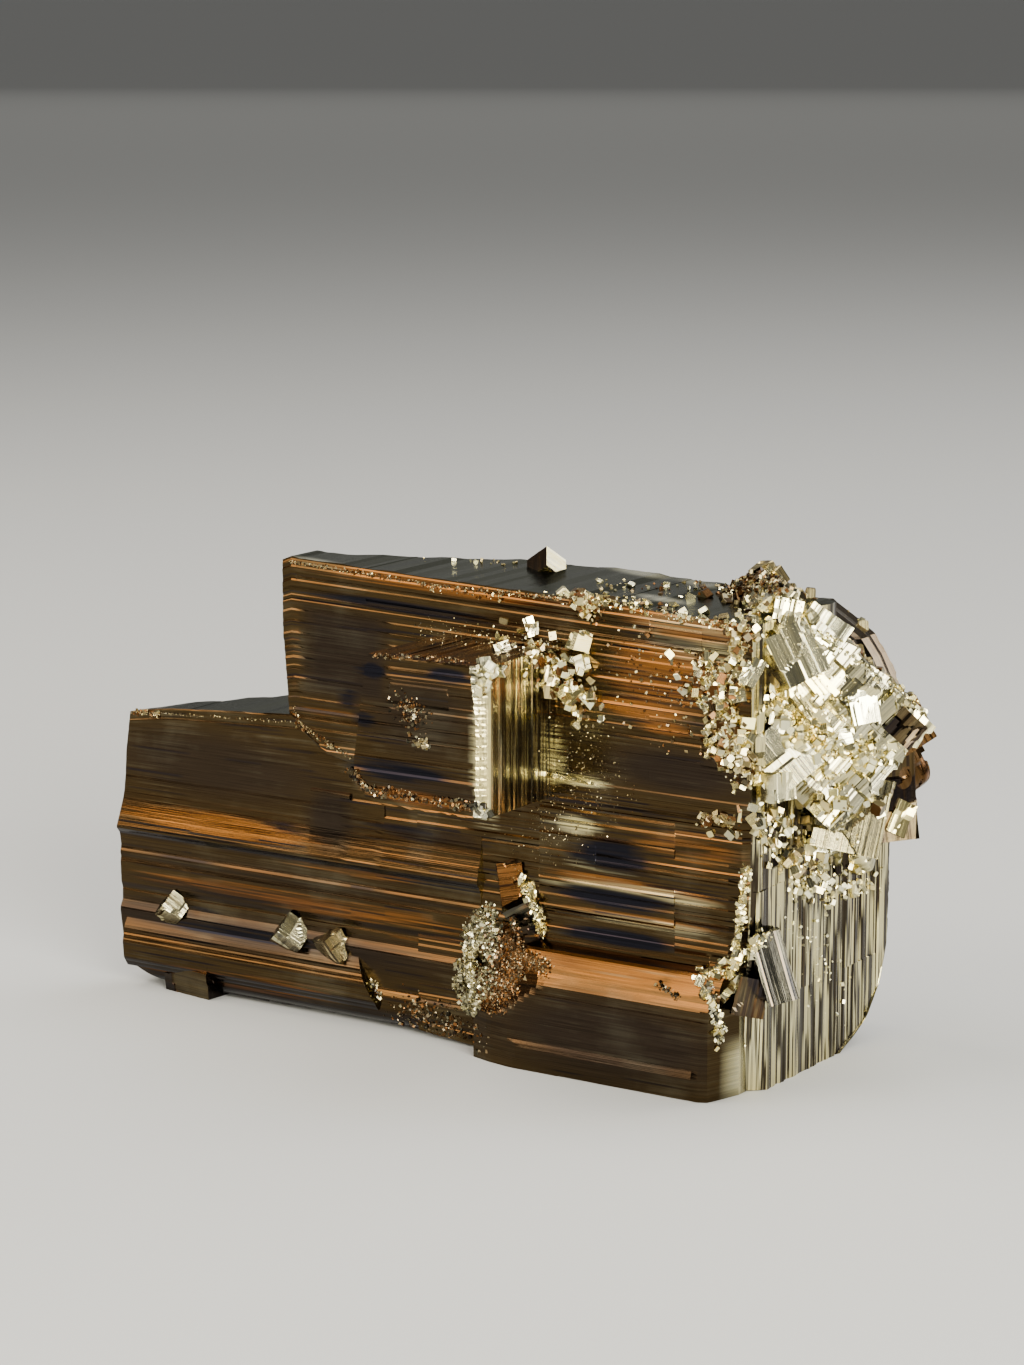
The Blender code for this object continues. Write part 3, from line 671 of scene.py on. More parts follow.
RIGHT_BACK_FOOT = smooth_run(((0.0, 8.5), (1.2, 12.2), (2.5, 15.1), (5.5, 18.0), (9.6, 19.7),
                              (15.0, 20.0), (33.0, 20.0)))
RIGHT_FLOOR = run(((JOIN[0], 0.8), (-3.0, 0.5), (3.0, 0.0), (RIGHT_END, 0.0)))
UPPER_BACK_EDGE = run(((UPPER_LEFT, -5.9), (-21.4, -5.2), (-17.4, -4.6), (-13.5, -1.6), (-8.0, 1.2),
                       (-2.8, 5.4), (4.0, UPPER_BACK - 1.4), (8.0, UPPER_BACK), (RIGHT_END, UPPER_BACK)))
UPPER_FOOT_EDGE = run(((UPPER_LEFT, 33.6), (-21.9, 33.4), (-21.2, 32.3), (-19.4, 31.0), (-17.4, 29.6),
                       (-14.2, 28.8), (RIGHT_END, UPPER_FOOT)))
# In front of this, the block's right side is cut back by so much for each millimetre, by height
BLOCK_EDGE = -21.1
BLOCK_CUT = run(((28.2, 1.1), (30.0, 0.85), (37.0, 0.78), (41.0, 1.05), (43.6, 1.4)))
BLOCK_LEFT = run(((28.2, -1.4), (28.7, -3.5), (30.8, -4.7), (32.4, -4.9), (42.0, -3.4), (43.6, -2.9)))
# The toe's front is the further back of these two, by height and by place along X
TOE_PROFILE = smooth_run(((0.0, -13.5), (2.3, -13.75), (3.2, -13.5), (6.5, -13.3), (9.3, -13.2),
                          (12.4, -10.95), (12.9, -9.0), (13.2, -7.7), (TOE_TOP, -5.0)), 7)
TOE_SHAPE = run(((2.2, -1.2), (2.6, -12.2), (5.2, -13.0), (9.1, -13.7), (12.6, -15.0), (28.0, -15.0),
                 (29.6, -13.9), (31.5, -13.1), (32.7, -9.0)))

# Low steps on the front of the lower crystals: start and end along X, low and high, rise
LEFT_PANELS = ((-19.8, -14.6, 19.6, 25.3, 0.3), (-14.9, -10.2, 18.2, 24.7, 0.16),
               (-10.5, 4.0, 16.9, 23.4, 0.1))
RIGHT_PANELS = ((-8.0, 9.8, 16.9, 23.4, 0.1), (9.2, 25.3, 16.4, 27.0, 0.12),
                (16.0, 31.6, 20.4, 23.6, 0.14))


def beyond(places, point, outward):
    """Move what lies beyond a plane onto it."""
    normal = np.array(Vector(outward).normalized())
    over = np.clip((places - np.array(point)) @ normal, 0.0, None)
    return places - over[:, None] * normal


# How much of their spacing values keep past a limit
PACKING = 0.08


def squeezed(values, limit):
    """Values past a limit, packed closely behind it."""
    return np.where(values > limit, limit + (values - limit) * PACKING, values)


# Each bend takes the places of a box's vertices, in millimetres, and returns them reshaped

def bend_lower_left(places):
    x, y, z = places.T.copy()
    top = LEFT_TOP(x)
    start = LEFT_SLOPE_FROM
    z = np.where(z > start, start + (z - start) * (top - start) / (LOWER_TOP - start), z)
    share = np.clip(1.0 - (x - LEFT_END) / 9.0, 0.0, 1.0)
    moved = x + (LEFT_EDGE(z) - LEFT_END) * share
    depth = (y - FRONT) / (LOWER_BACK - FRONT)
    front = FRONT - LEFT_RIBS(z)
    return np.stack([moved, front + depth * (LEFT_BACK(x) - front), z], axis=1)


def bend_lower_right(places):
    x, y, z = places.T.copy()
    floor = RIGHT_FLOOR(x)
    z = np.where(z < RIGHT_FLAT_FROM, floor + z * (RIGHT_FLAT_FROM - floor) / RIGHT_FLAT_FROM, z)
    y = squeezed(y, RIGHT_BACK_FOOT(z))
    return beyond(np.stack([x, y, z], axis=1), CORNER_BEVEL, CORNER_BEVEL_FACING)


def bend_upper(places):
    x, y, z = places.T.copy()
    top = UPPER_TOP - UPPER_FALL * (x - UPPER_LEFT) - 0.5 * np.clip(1.0 - (x - UPPER_LEFT), 0.0, 1.0)
    z = UPPER_FOOT + (z - UPPER_FOOT) / (UPPER_TOP - UPPER_FOOT) * (top - UPPER_FOOT)
    z = -squeezed(-z, -UPPER_FOOT_EDGE(x))
    x = x + np.clip(42.0 - z, 0.0, 10.0) * 0.08 * np.clip(1.0 - (x - UPPER_LEFT) / 4.0, 0.0, 1.0)
    depth = (y - UPPER_FRONT) / (UPPER_BACK - UPPER_FRONT)
    y = UPPER_FRONT + depth * (UPPER_BACK_EDGE(x) - UPPER_FRONT)
    return np.stack([x, y, z], axis=1)


def bend_block(places):
    x, y, z = places.T.copy()
    left, right = BLOCK_X
    share = (x - left) / (right - left)
    x = BLOCK_LEFT(z) + share * (right - BLOCK_LEFT(z))
    ragged = 1.0 + 0.05 * np.sin(5.3 * z) + 0.04 * np.sin(11.3 * z + 1.0)
    x = x - np.clip(BLOCK_EDGE - y, 0.0, 2.0) * BLOCK_CUT(z) * ragged * share
    return np.stack([x, y, z], axis=1)


def bend_toe(places):
    x, y, z = places.T.copy()
    front = np.maximum(TOE_PROFILE(z), TOE_SHAPE(x))
    y = TOE_ROOT + (y - TOE_ROOT) / (TOE_FRONT - TOE_ROOT) * (front - TOE_ROOT)
    return beyond(np.stack([x, y, z], axis=1), TOE_BREAK, TOE_BREAK_FACING)


def bend_rib(places):
    x, y, z = places.T.copy()
    end = run(((2.2, RIB_END), (3.1, -11.1), (5.6, -12.6), (8.5, -13.9)))(z)
    share = np.clip((x - RIB_BEND) / (RIB_END - RIB_BEND), 0.0, 1.0)
    x = x + (end - RIB_END) * share
    front = smooth_run(((2.2, -9.7), (3.2, -10.35), (5.0, -10.5), (6.6, -10.15), (8.5, -9.4)))(z)
    return np.stack([x, np.where(y < -8.0, front, y), z], axis=1)


def rounded(size):
    """A bend that rounds off a box of this size."""
    def bend(places):
        reach = np.abs(places / (np.array(size) / 2))
        return places / np.clip((reach ** 4).sum(axis=1) ** 0.25, 1.0, None)[:, None]
    return bend


def bend_back_right(places):
    x, y, z = places.T.copy()
    edge = run(((9.0, 25.0), (10.0, 26.0), (16.0, 30.0), (22.0, 31.8), (26.0, 34.5), (31.0, 35.6),
                (36.5, 34.5), (40.4, 32.5), (42.4, 31.0), (43.9, 28.6), (45.5, 25.9)))(z)
    share = np.clip((x - BACK_RIGHT_BEND) / (BACK_RIGHT_END - BACK_RIGHT_BEND), 0.0, 1.0)
    x = x + (edge - BACK_RIGHT_END) * share
    return np.stack([x, y, z], axis=1)


# ---------------------------------------------------------------- small crystals

# Blocks of the crystals behind: centre, size, angles
REAR_BLOCKS = (
    ((-13.4, 7.6, 29.4), (14.6, 15.4, 16.6), (0, 0, 0)),
    ((-33.2, 1.2, 12.6), (11.6, 11.0, 18.4), (13, 0, 0)),
    ((-25.4, 5.2, 23.6), (8.6, 8.2, 8.0), (13, 0, 0)),
    ((0.6, 16.7, 13.6), (8.4, 8.6, 11.6), (-11, 0, 7)),
    ((-15.6, 18.2, 13.4), (9.6, 7.4, 13.0), (0, 0, 0)),
    ((25.2, 18.0, 37.0), (9.4, 6.6, 9.2), (8, -6, 0)),
)

# How a small crystal is coated: bronze, amber, ink, straw, ash, frost
FINISHES = {
    "bright": (0.0, 0.0, 0.0, 0.15, 0.0, 0.1), "straw": (0.05, 0.0, 0.05, 0.8, 0.0, 0.1),
    "gold": (0.4, 0.25, 0.05, 0.7, 0.0, 0.3), "brown": (1.0, 0.2, 0.1, 0.0, 0.0, 0.4),
    "amber": (1.0, 0.8, 0.0, 0.1, 0.0, 0.5), "dark": (1.0, 0.0, 0.5, 0.0, 0.0, 0.2),
    "grey": (0.8, 0.0, 0.3, 0.0, 0.6, 0.3), "olive": (0.6, 0.0, 0.2, 0.5, 0.0, 0.2),
    "white": (0.0, 0.0, 0.0, 0.0, 0.0, 0.5), "rust": (1.0, 0.5, 0.2, 0.0, 0.0, 0.4),
    "slate": (0.8, 0.0, 0.7, 0.0, 0.5, 0.4), "pale": (0.5, 0.0, 0.1, 0.1, 0.0, 0.1),
    "silver": (0.3, 0.0, 0.3, 0.0, 0.4, 0.3),
}

# Named small crystals: name, centre, size, angles, finish
GEMS = (
    ("foot", (-36.4, -7.4, 1.8), (6.8, 5.0, 3.6), (-8, 0, 0), "dark"),
    ("rear_foot", (-17.0, 12.5, 2.7), (9.0, 7.0, 5.4), (-8, 0, 0), "brown"),
    ("left_gem", (-38.6, -9.6, 9.4), (2.5, 2.5, 2.5), (-34, 30, 46), "pale"),
    ("middle_gem", (-22.4, -9.6, 9.0), (2.9, 2.9, 3.0), (-36, 26, 50), "pale"),
    ("striped_gem", (-17.0, -9.4, 8.4), (3.6, 2.4, 3.0), (-25, 10, 28), "gold"),
    ("upright_gem", (5.9, -9.6, 18.2), (2.6, 2.2, 4.6), (35, 8, -6), "amber"),
    ("leaning_gem", (7.2, -9.9, 15.8), (3.0, 2.6, 2.6), (28, 30, 20), "grey"),
    ("dark_gem", (8.1, -9.8, 13.0), (2.4, 2.4, 3.4), (40, 5, 8), "dark"),
    ("top_gem", (2.3, 2.6, 49.2), (2.9, 2.9, 2.9), (3, 35, 45), "gold"),
    ("top_wedge", (27.6, 3.0, 46.6), (6.0, 6.0, 6.0), (12, 35, 45), "brown"),
    ("corner_gem", (33.8, -9.0, 10.8), (3.2, 3.2, 4.2), (-52, 0, -12), "dark"),
    ("corner_slab", (35.6, -7.4, 13.4), (4.8, 3.2, 7.2), (-58, 12, 16), "slate"),
    ("right_lump", (34.6, 12.6, 20.4), (2.6, 2.6, 3.0), (10, 20, 30), "bright"),
    ("cap_cube", (36.4, 6.6, 26.9), (7.2, 7.2, 8.0), (-58, 6, -12), "olive"),
    ("cap_pillar", (36.2, 14.8, 27.2), (5.4, 5.0, 9.6), (-38, 4, 3), "dark"),
    ("cap_tip", (39.8, 10.6, 35.2), (5.0, 5.2, 5.0), (-48, 6, 30), "brown"),
    ("brown_knob", (36.9, 16.0, 29.8), (4.8, 5.6, 6.0), (-30, 10, 24), "brown"),
    ("cap_shoulder", (34.4, -3.6, 44.0), (5.0, 5.4, 5.6), (-30, 20, 18), "bright"),
    ("cap_ledge", (34.8, -5.4, 34.2), (5.0, 6.2, 6.0), (-56, 12, 38), "bright"),
    ("back_gem", (-22.6, 19.1, 19.6), (4.2, 3.8, 4.2), (30, 20, 20), "straw"),
    ("back_cube", (13.4, 18.6, 30.0), (7.0, 5.0, 7.4), (10, 6, 10), "gold"),
    ("low_cube", (20.4, 17.9, 14.4), (6.2, 5.6, 7.0), (24, 8, 12), "olive"),
    ("seam_cube", (4.6, 18.2, 21.6), (4.6, 4.8, 4.6), (38, 18, 26), "straw"),
    ("shelf_gem", (-18.0, 12.8, 36.6), (4.4, 4.4, 4.4), (22, 28, 40), "bright"),
    ("shelf_cube", (-8.6, 13.6, 37.2), (5.4, 5.0, 4.6), (-14, 10, 0), "gold"),
    ("wing_gem", (-37.2, 4.0, 20.4), (3.6, 3.6, 3.6), (30, 32, 38), "bright"),
    ("wing_cube", (-29.4, 6.4, 5.6), (5.0, 4.6, 5.4), (40, 0, 10), "olive"),
)

# Faces of a small crystal that are broken, into how many facets, their tilt and their steps
BREAKAGE = (("left", "right", "front", "back", "top"), 3, 0.07, 0.05)
UNBROKEN = ("top_gem", "corner_slab")
ROUNDED = ("brown_knob", "right_lump")
# Two sides of the gem on top aren't coated as its finish says
TOP_GEM_COATS = {"top": (1.0, 0.0, 0.1, 0.25, 0.0), "right": (0.1, 0.0, 0.1, 0.0, 0.9)}
# Relief of a small crystal, by how fresh its finish is
FRESH_FINISHES = ("bright", "gold", "straw", "pale")
FRESH_RELIEF = 0.012
COATED_RELIEF = 0.04
# Small crystals that are grouped with those behind, wherever their middle is
REAR_GEMS = ("wing_gem", "wing_cube", "rear_foot")

# Strips of crumbs: name, count, from, to, spread along X, Y and Z, smallest and largest edge
CRUMBS = (
    ("beside_block", 14, (12.2, -9.9, 44.4), (15.4, -9.9, 37.4), (1.7, 0.25, 1.6), 1.2, 2.5),
    ("front_right", 10, (21.5, -9.9, 45.4), (31.5, -9.9, 41.4), (1.6, 0.2, 1.6), 0.6, 1.2),
    ("front_corner", 16, (32.6, -9.8, 46.4), (33.4, -9.6, 27.6), (1.3, 0.4, 1.0), 1.3, 2.6),
    ("front_edge", 8, (28.0, -9.2, 28.4), (32.4, -9.2, 26.4), (1.4, 0.2, 1.0), 0.9, 1.6),
    ("bevel", 8, (33.0, -8.2, 26.0), (32.8, -8.0, 14.0), (0.3, 0.4, 1.0), 1.0, 1.9),
    ("top_edge", 10, (9.0, -8.6, 49.0), (31.0, -8.0, 48.3), (1.2, 1.0, 0.15), 1.0, 1.9),
    ("top_right", 8, (20.0, -5.0, 48.6), (30.0, 3.0, 48.2), (2.0, 3.4, 0.2), 1.0, 2.2),
    ("under_cap", 20, (34.2, -7.6, 36.4), (34.8, 6.0, 22.8), (0.5, 1.8, 1.8), 1.3, 3.0),
    ("cap_side", 12, (34.4, -6.2, 47.2), (34.4, -5.0, 37.0), (0.5, 1.4, 1.5), 1.3, 2.8),
    ("cap_foot", 10, (36.6, -3.4, 29.8), (41.5, 3.6, 28.8), (0.9, 1.2, 1.3), 1.2, 2.4),
    ("toe_corner", 7, (31.2, -11.6, 9.6), (33.0, -9.0, 12.6), (0.5, 0.5, 0.7), 1.0, 1.9),
    ("back_seam", 13, (-4.4, 19.4, 4.0), (5.0, 19.7, 30.4), (1.3, 0.4, 1.0), 1.4, 2.8),
    ("shelf_foot", 9, (-19.4, 15.0, 25.2), (-7.0, 15.6, 25.4), (0.8, 0.9, 0.3), 1.3, 2.6),
    ("top_back", 9, (8.0, 8.4, 45.0), (27.0, 9.0, 45.4), (1.2, 0.7, 0.3), 1.2, 2.4),
    ("wing_foot", 8, (-38.0, -3.6, 18.6), (-24.0, 7.2, 19.4), (0.9, 0.7, 0.9), 1.2, 2.4),
)
# Crumbs and grains turn by up to this, and are made smaller than the solid's
CRUMB_TURN = 45.0
CRUMB_SHARE = 0.6
CRUMB_FINISHES = ("bright", "bright", "straw", "gold", "brown")

# Grains over the toe's broken end: the slope's corners, how many, smallest and largest edge
BREAK_CORNERS = ((1.6, -9.3, 15.4), (0.4, -9.6, 9.4), (3.6, -11.6, 4.2), (10.8, -11.6, 9.6))
GRAINS = 34
GRAIN_EDGE = (1.6, 2.8)

# Crusts, by where they are aimed from: name, path, half width, count, smallest and largest edge in
# millimetres, finishes. A path is in pixels for the camera, and otherwise in millimetres.
CRUSTS = {
    "camera": (
        ("cap_edge", ((757, 590), (790, 600), (815, 630), (850, 655), (900, 690), (935, 722)),
         5, 150, (0.15, 0.6), "bright straw white"),
        ("corner_crust", ((752, 604), (742, 640), (724, 690), (728, 740), (744, 780)), 15, 420, (0.2, 0.9),
         "bright white straw gold brown"),
        ("wedge_crust", ((728, 590), (752, 580), (782, 584)), 9, 460, (0.12, 0.5),
         "brown rust dark gold"),
        ("cap_rubble", ((772, 700), (800, 735), (850, 752), (884, 752)), 15, 260, (0.25, 1.0),
         "bright white straw"),
        ("under_cap_rubble", ((764, 812), (786, 845), (812, 876), (836, 886)), 21, 380, (0.2, 1.1),
         "bright white gold dark straw"),
        ("cap_specks", ((790, 640), (820, 690), (860, 700)), 34, 90, (0.1, 0.3), "bright straw"),
        ("cube_specks", ((840, 790), (850, 840)), 20, 60, (0.1, 0.4), "bright straw gold"),
        ("right_face_fade", ((790, 890), (850, 890), (885, 880)), 10, 50, (0.3, 1.0), "white"),
        ("right_face_dust", ((800, 890), (820, 960), (840, 1000)), 26, 70, (0.1, 0.35), "white"),
        ("front_right_rubble", ((704, 655), (712, 700), (730, 752)), 17, 360, (0.2, 0.9),
         "bright rust brown straw"),
        ("top_front_edge", ((560, 598), (640, 606), (700, 620), (750, 632)), 7, 380, (0.1, 0.45),
         "gold straw rust bright"),
        ("top_dust", ((600, 586), (700, 588), (745, 584)), 8, 60, (0.2, 0.7), "bright gold rust"),
        ("block_side_rubble", ((510, 640), (545, 662), (580, 700), (588, 718)), 20, 150, (0.25, 1.0),
         "bright straw gold rust"),
        ("block_side_knob", ((578, 598), (598, 612)), 11, 160, (0.2, 0.8), "rust gold straw"),
        ("upper_right_field", ((620, 640), (660, 690), (690, 735)), 40, 150, (0.1, 0.4),
         "gold rust brown"),
        ("upper_left_edge", ((287, 561), (350, 571), (440, 586), (560, 599)), 2.5, 520, (0.07, 0.26),
         "gold rust brown"),
        ("upper_left_knots", ((425, 588), (470, 592), (505, 600)), 5, 60, (0.1, 0.4), "rust gold"),
        ("left_corner_crust", ((131, 710), (160, 714)), 4, 150, (0.08, 0.35), "gold rust"),
        ("left_top_edge", ((133, 711), (200, 716), (290, 722)), 1.5, 160, (0.05, 0.16), "gold brown"),
        ("block_corner", ((472, 666), (496, 666), (478, 694)), 7, 40, (0.4, 1.2), "white bright"),
        ("block_edge", ((478, 696), (480, 716)), 1.2, 24, (0.06, 0.2), "bright straw"),
        ("block_foot_corner", ((474, 806), (486, 814)), 5, 40, (0.2, 0.7), "grey bright"),
        ("block_top_edge", ((374, 656), (420, 657), (470, 662)), 2.5, 190, (0.08, 0.3), "rust brown"),
        ("block_chip", ((350, 770), (368, 790), (440, 802), (476, 808)), 5, 420, (0.1, 0.42),
         "brown dark rust rust"),
        ("block_pit", ((402, 704), (420, 722)), 13, 190, (0.1, 0.4), "brown rust dark"),
        ("block_specks", ((416, 738), (428, 746)), 7, 40, (0.15, 0.5), "gold grey"),
        ("middle_dust", ((575, 740), (590, 800), (530, 850)), 38, 620, (0.05, 0.14), "gold brown"),
        ("upper_dust", ((420, 630), (560, 645)), 15, 320, (0.05, 0.16), "gold grey"),
        ("right_edge_crust", ((746, 868), (740, 920), (734, 962)), 5, 260, (0.15, 0.6), "bright straw"),
        ("toe_edge_crust", ((706, 985), (716, 1012), (720, 1046)), 6, 150, (0.15, 0.7),
         "straw bright grey"),
        ("toe_corner_crust", ((700, 976), (730, 968), (764, 938)), 7, 260, (0.15, 0.8), "bright straw"),
        ("bottom_crust", ((400, 1006), (440, 1022), (470, 1040)), 17, 460, (0.1, 0.42),
         "brown rust dark"),
        ("rib_end_crust", ((372, 980), (382, 1000)), 3, 60, (0.08, 0.3), "gold grey"),
        ("gem_crust", ((522, 876), (534, 906), (543, 936)), 6, 240, (0.12, 0.6), "bright straw"),
        ("upper_foot_crust", ((293, 706), (300, 726), (350, 757)), 3, 190, (0.07, 0.28), "gold rust"),
        ("front_knot", ((700, 818), (738, 822)), 6, 80, (0.15, 0.7), "gold rust"),
        ("toe_crack", ((655, 984), (680, 998)), 4, 70, (0.1, 0.35), "dark brown"),
        ("pale_druse", ((489, 912), (474, 940), (467, 968), (472, 1012)), 12, 1300, (0.16, 0.44),
         "silver bright silver olive"),
        ("brown_druse", ((504, 929), (514, 955), (508, 984), (493, 1002)), 14, 2300, (0.12, 0.27),
         "brown rust amber rust"),
        ("druse_divide", ((494, 925), (489, 960), (484, 1000)), 9, 900, (0.14, 0.36),
         "silver brown olive rust"),
        ("brown_druse_tip", ((522, 955), (546, 969)), 8, 640, (0.12, 0.25), "brown rust amber"),
    ),
    "back": (
        ("back_top_crust", ((8.0, 45.4), (30.0, 43.0)), 1.2, 160, (0.3, 1.3), "bright gold"),
        ("back_seam_crust", ((-4.4, 4.0), (5.0, 30.4)), 1.8, 260, (0.3, 1.4), "bright straw brown"),
        ("shelf_crust", ((-20.0, 25.4), (-6.0, 25.6)), 1.0, 140, (0.3, 1.2), "gold bright"),
        ("back_field", ((12.0, 34.0), (30.0, 20.0)), 5.0, 120, (0.2, 0.8), "gold bright"),
    ),
    "left": (
        ("left_crust", ((-7.0, 14.0), (3.0, 22.0)), 1.6, 120, (0.3, 1.2), "gold bright"),
    ),
    "top": (
        ("top_crust", ((-12.0, -1.0), (2.0, 5.0)), 1.5, 24, (0.15, 0.5), "gold bright"),
        ("cap_back_crust", ((28.0, 6.0), (36.0, 14.0)), 3.0, 160, (0.4, 1.6), "brown gold"),
    ),
}

# Larger plates on the cap and beside the block: pixel across and down, size across its striae,
# along them and deep, facing, angle of its striae in the frame, rise, relief and finish
PLATES = (
    (818, 638, (4.8, 5.6, 3.0), (0.63, -0.74, 0.22), 57, 0.35, 0.06, "bright"),
    (786, 622, (2.8, 4.6, 2.4), (0.45, -0.86, 0.24), 78, 0.25, 0.05, "bright"),
    (752, 672, (1.8, 2.9, 1.8), (0.50, -0.80, 0.34), 62, 0.35, 0.0, "white"),
    (738, 690, (2.6, 1.4, 1.4), (0.30, -0.88, 0.36), 12, 0.3, 0.0, "white"),
    (716, 680, (1.2, 2.4, 1.2), (0.05, -0.93, 0.36), -62, 0.25, 0.0, "white"),
    (812, 692, (4.2, 3.6, 2.6), (0.74, -0.65, 0.16), 128, 0.2, 0.06, "straw"),
    (862, 700, (2.9, 4.8, 2.4), (0.68, -0.68, 0.28), 102, 0.35, 0.0, "white"),
    (846, 740, (2.4, 1.4, 1.4), (0.60, -0.77, 0.22), 15, 0.2, 0.02, "bright"),
    (757, 745, (1.5, 8.0, 1.4), (0.92, -0.38, 0.08), 90, 0.35, 0.05, "straw"),
    (783, 787, (3.4, 3.0, 1.8), (0.96, -0.28, 0.0), 90, 0.3, 0.12, "bright"),
    (900, 818, (2.2, 3.6, 1.2), (0.80, -0.58, 0.15), 68, 0.4, 0.03, "straw"),
    (814, 862, (1.4, 3.4, 1.6), (0.60, -0.75, 0.28), 62, 0.4, 0.0, "white"),
    (828, 850, (1.3, 1.9, 1.4), (0.30, -0.90, 0.32), 20, 0.4, 0.0, "white"),
    (906, 728, (3.4, 3.0, 2.2), (0.60, -0.80, 0.05), 48, 0.35, 0.1, "dark"),
    (712, 712, (1.8, 1.6, 1.6), (0.15, -0.95, 0.26), 20, 0.35, 0.02, "bright"),
    (772, 712, (1.8, 2.4, 1.8), (0.55, -0.82, 0.16), 70, 0.3, 0.02, "bright"),
    (582, 638, (2.8, 2.6, 1.6), (0.04, -0.90, 0.43), -9, 0.30, 0.0, "straw"),
    (548, 682, (2.2, 3.4, 2.2), (0.72, -0.68, 0.16), 84, 0.55, 0.04, "gold"),
    (570, 694, (2.4, 2.2, 2.2), (0.30, -0.90, 0.30), 40, 0.50, 0.03, "straw"),
    (584, 664, (1.8, 1.6, 1.6), (0.10, -0.88, 0.46), 20, 0.50, 0.02, "bright"),
    (532, 626, (1.5, 2.0, 1.6), (0.66, -0.72, 0.22), 110, 0.35, 0.0, "bright"),
    (503, 650, (1.6, 1.6, 1.4), (0.60, -0.75, 0.30), 20, 0.30, 0.0, "white"),
    (580, 781, (0.4, 6.4, 0.6), (0.10, -0.90, 0.42), -12, 0.12, 0.0, "straw"),
)
# Where the ray that places a crumb starts, in millimetres, and the way that it goes
AIMS = {
    "back": lambda a, b: (Vector((a, 80.0, b)), Vector((0.0, -1.0, 0.0))),
    "left": lambda a, b: (Vector((-90.0, a, b)), Vector((1.0, 0.0, 0.0))),
    "top": lambda a, b: (Vector((a, b, 90.0)), Vector((0.0, 0.0, -1.0))),
    "camera": lambda a, b: (Vector(EYE), sight(a, b)),
}


def chip(kind):
    """Mesh of one small shape, a millimetre across: a cube, whole, worn, cut or stepped."""
    shape = bmesh.new()
    bmesh.ops.create_cube(shape, size=1.0)
    if kind == "worn":
        bmesh.ops.bevel(shape, geom=shape.edges[:], offset=0.05, offset_type="OFFSET", segments=1,
                        profile=0.5, affect="EDGES", material=-1)
    elif kind == "cut":
        bmesh.ops.bevel(shape, geom=shape.verts[:], offset=0.2, offset_type="OFFSET", segments=1,
                        profile=0.5, affect="VERTICES", material=-1)
    elif kind == "stepped":
        for face in [face for face in shape.faces if sum(face.normal) > 0.5]:
            bmesh.ops.inset_individual(shape, faces=[face], thickness=0.14)
            bmesh.ops.translate(shape, vec=face.normal * 0.09, verts=face.verts)
    mesh = meshed(shape, "chip")
    for name in ("film", "finish"):
        mesh.attributes.new(name, "FLOAT_VECTOR", "FACE")
    mesh.uv_layers.new(name="grain")
    return mesh


CHIP_KINDS = ("whole", "worn", "cut", "stepped")
# Numbers of the kinds above to draw from, and how far a face's film may be lighter or heavier
CHIP_DRAW = (0, 1, 2, 3, 3)
FILM_SHAKE = (0.6, 1.25)


class Scatter:
    """Copies of small shapes, gathered into one piece."""

    def __init__(self, name, seed):
        self.name = name
        self.dice = random.Random(seed)
        self.shape = bmesh.new()
        self.chips = []
        for kind in CHIP_KINDS:
            mesh = chip(kind)
            places = read(mesh.vertices, "co", 3)
            self.chips.append((mesh, places, read(mesh.loops, "vertex_index", kind=np.int32)))

    def add(self, matrix, size, finish, small):
        """One more shape, in millimetres; very small ones are whole cubes."""
        kind = 0 if small else self.dice.choice(CHIP_DRAW)
        mesh, places, loops = self.chips[kind]
        put = (places * np.array(size)) @ np.array(matrix.to_3x3()).T + np.array(matrix.translation)
        write(mesh.vertices, "co", put * MM)
        coat = np.array(FINISHES[finish])
        shake = np.array([[self.dice.uniform(*FILM_SHAKE) for _ in range(2)] for _ in mesh.polygons])
        film = np.clip(coat[:3] * shake[:, :1], 0.0, 1.0)
        dull = np.clip(coat[3:] * shake[:, 1:], 0.0, 1.0)
        write(mesh.attributes["film"].data, "vector", film)
        write(mesh.attributes["finish"].data, "vector", dull)
        grain = places[loops][:, :2] * size[0] * GRAIN_SCALE + self.dice.uniform(0.0, GRAIN_SHIFT)
        write(mesh.uv_layers["grain"].data, "uv", grain)
        self.shape.from_mesh(mesh)

    def piece(self):
        """The finished piece."""
        for chip_mesh, _, _ in self.chips:
            bpy.data.meshes.remove(chip_mesh)
        return kept(shown(self.name, meshed(self.shape, self.name), bpy.data.materials[METAL]))


def plate(tree, place, size, facing, angle, rise):
    """Matrix that lays a plate on what the camera sees at a pixel, with its striae at an angle."""
    hit = tree.ray_cast(Vector(EYE) * MM, sight(*place))[0]
    right, up, _ = camera_axes()
    view, normal = sight(*place), Vector(facing).normalized()
    line = right * math.cos(math.radians(angle)) + up * math.sin(math.radians(angle))
    line = (line - view * (line.dot(normal) / view.dot(normal))).normalized()
    turned = Matrix((line.cross(normal), line, normal)).transposed().to_4x4()
    return Matrix.Translation(hit / MM + normal * (rise - size[2] / 2)) @ turned


def carrier():
    """A tree of the faces that small crystals can sit on."""
    shape = bmesh.new()
    for thing in bpy.context.scene.objects:
        if thing.type == "MESH" and "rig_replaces" in thing:
            shape.from_mesh(thing.data)
    tree = BVHTree.FromBMesh(shape)
    shape.free()
    return tree


def along_path(path, share):
    """The place at a share of a path's length."""
    points = [Vector(point) for point in path]
    lengths = [(second - first).length for first, second in zip(points, points[1:])]
    left = share * sum(lengths)
    for first, second, length in zip(points, points[1:], lengths):
        if left <= length:
            return first.lerp(second, left / length)
        left -= length
    return points[-1]


# Turns that most crumbs are close to, how many are, and by how many degrees they still differ
COMMON_TURNS = ((-50.0, 0.0, -43.0), (-50.0, 24.0, -20.0), (-24.0, 10.0, 30.0), (12.0, 0.0, 0.0),
                (-70.0, 30.0, 10.0))
COMMON_SHARE = 0.7
COMMON_SPREAD = 7.0
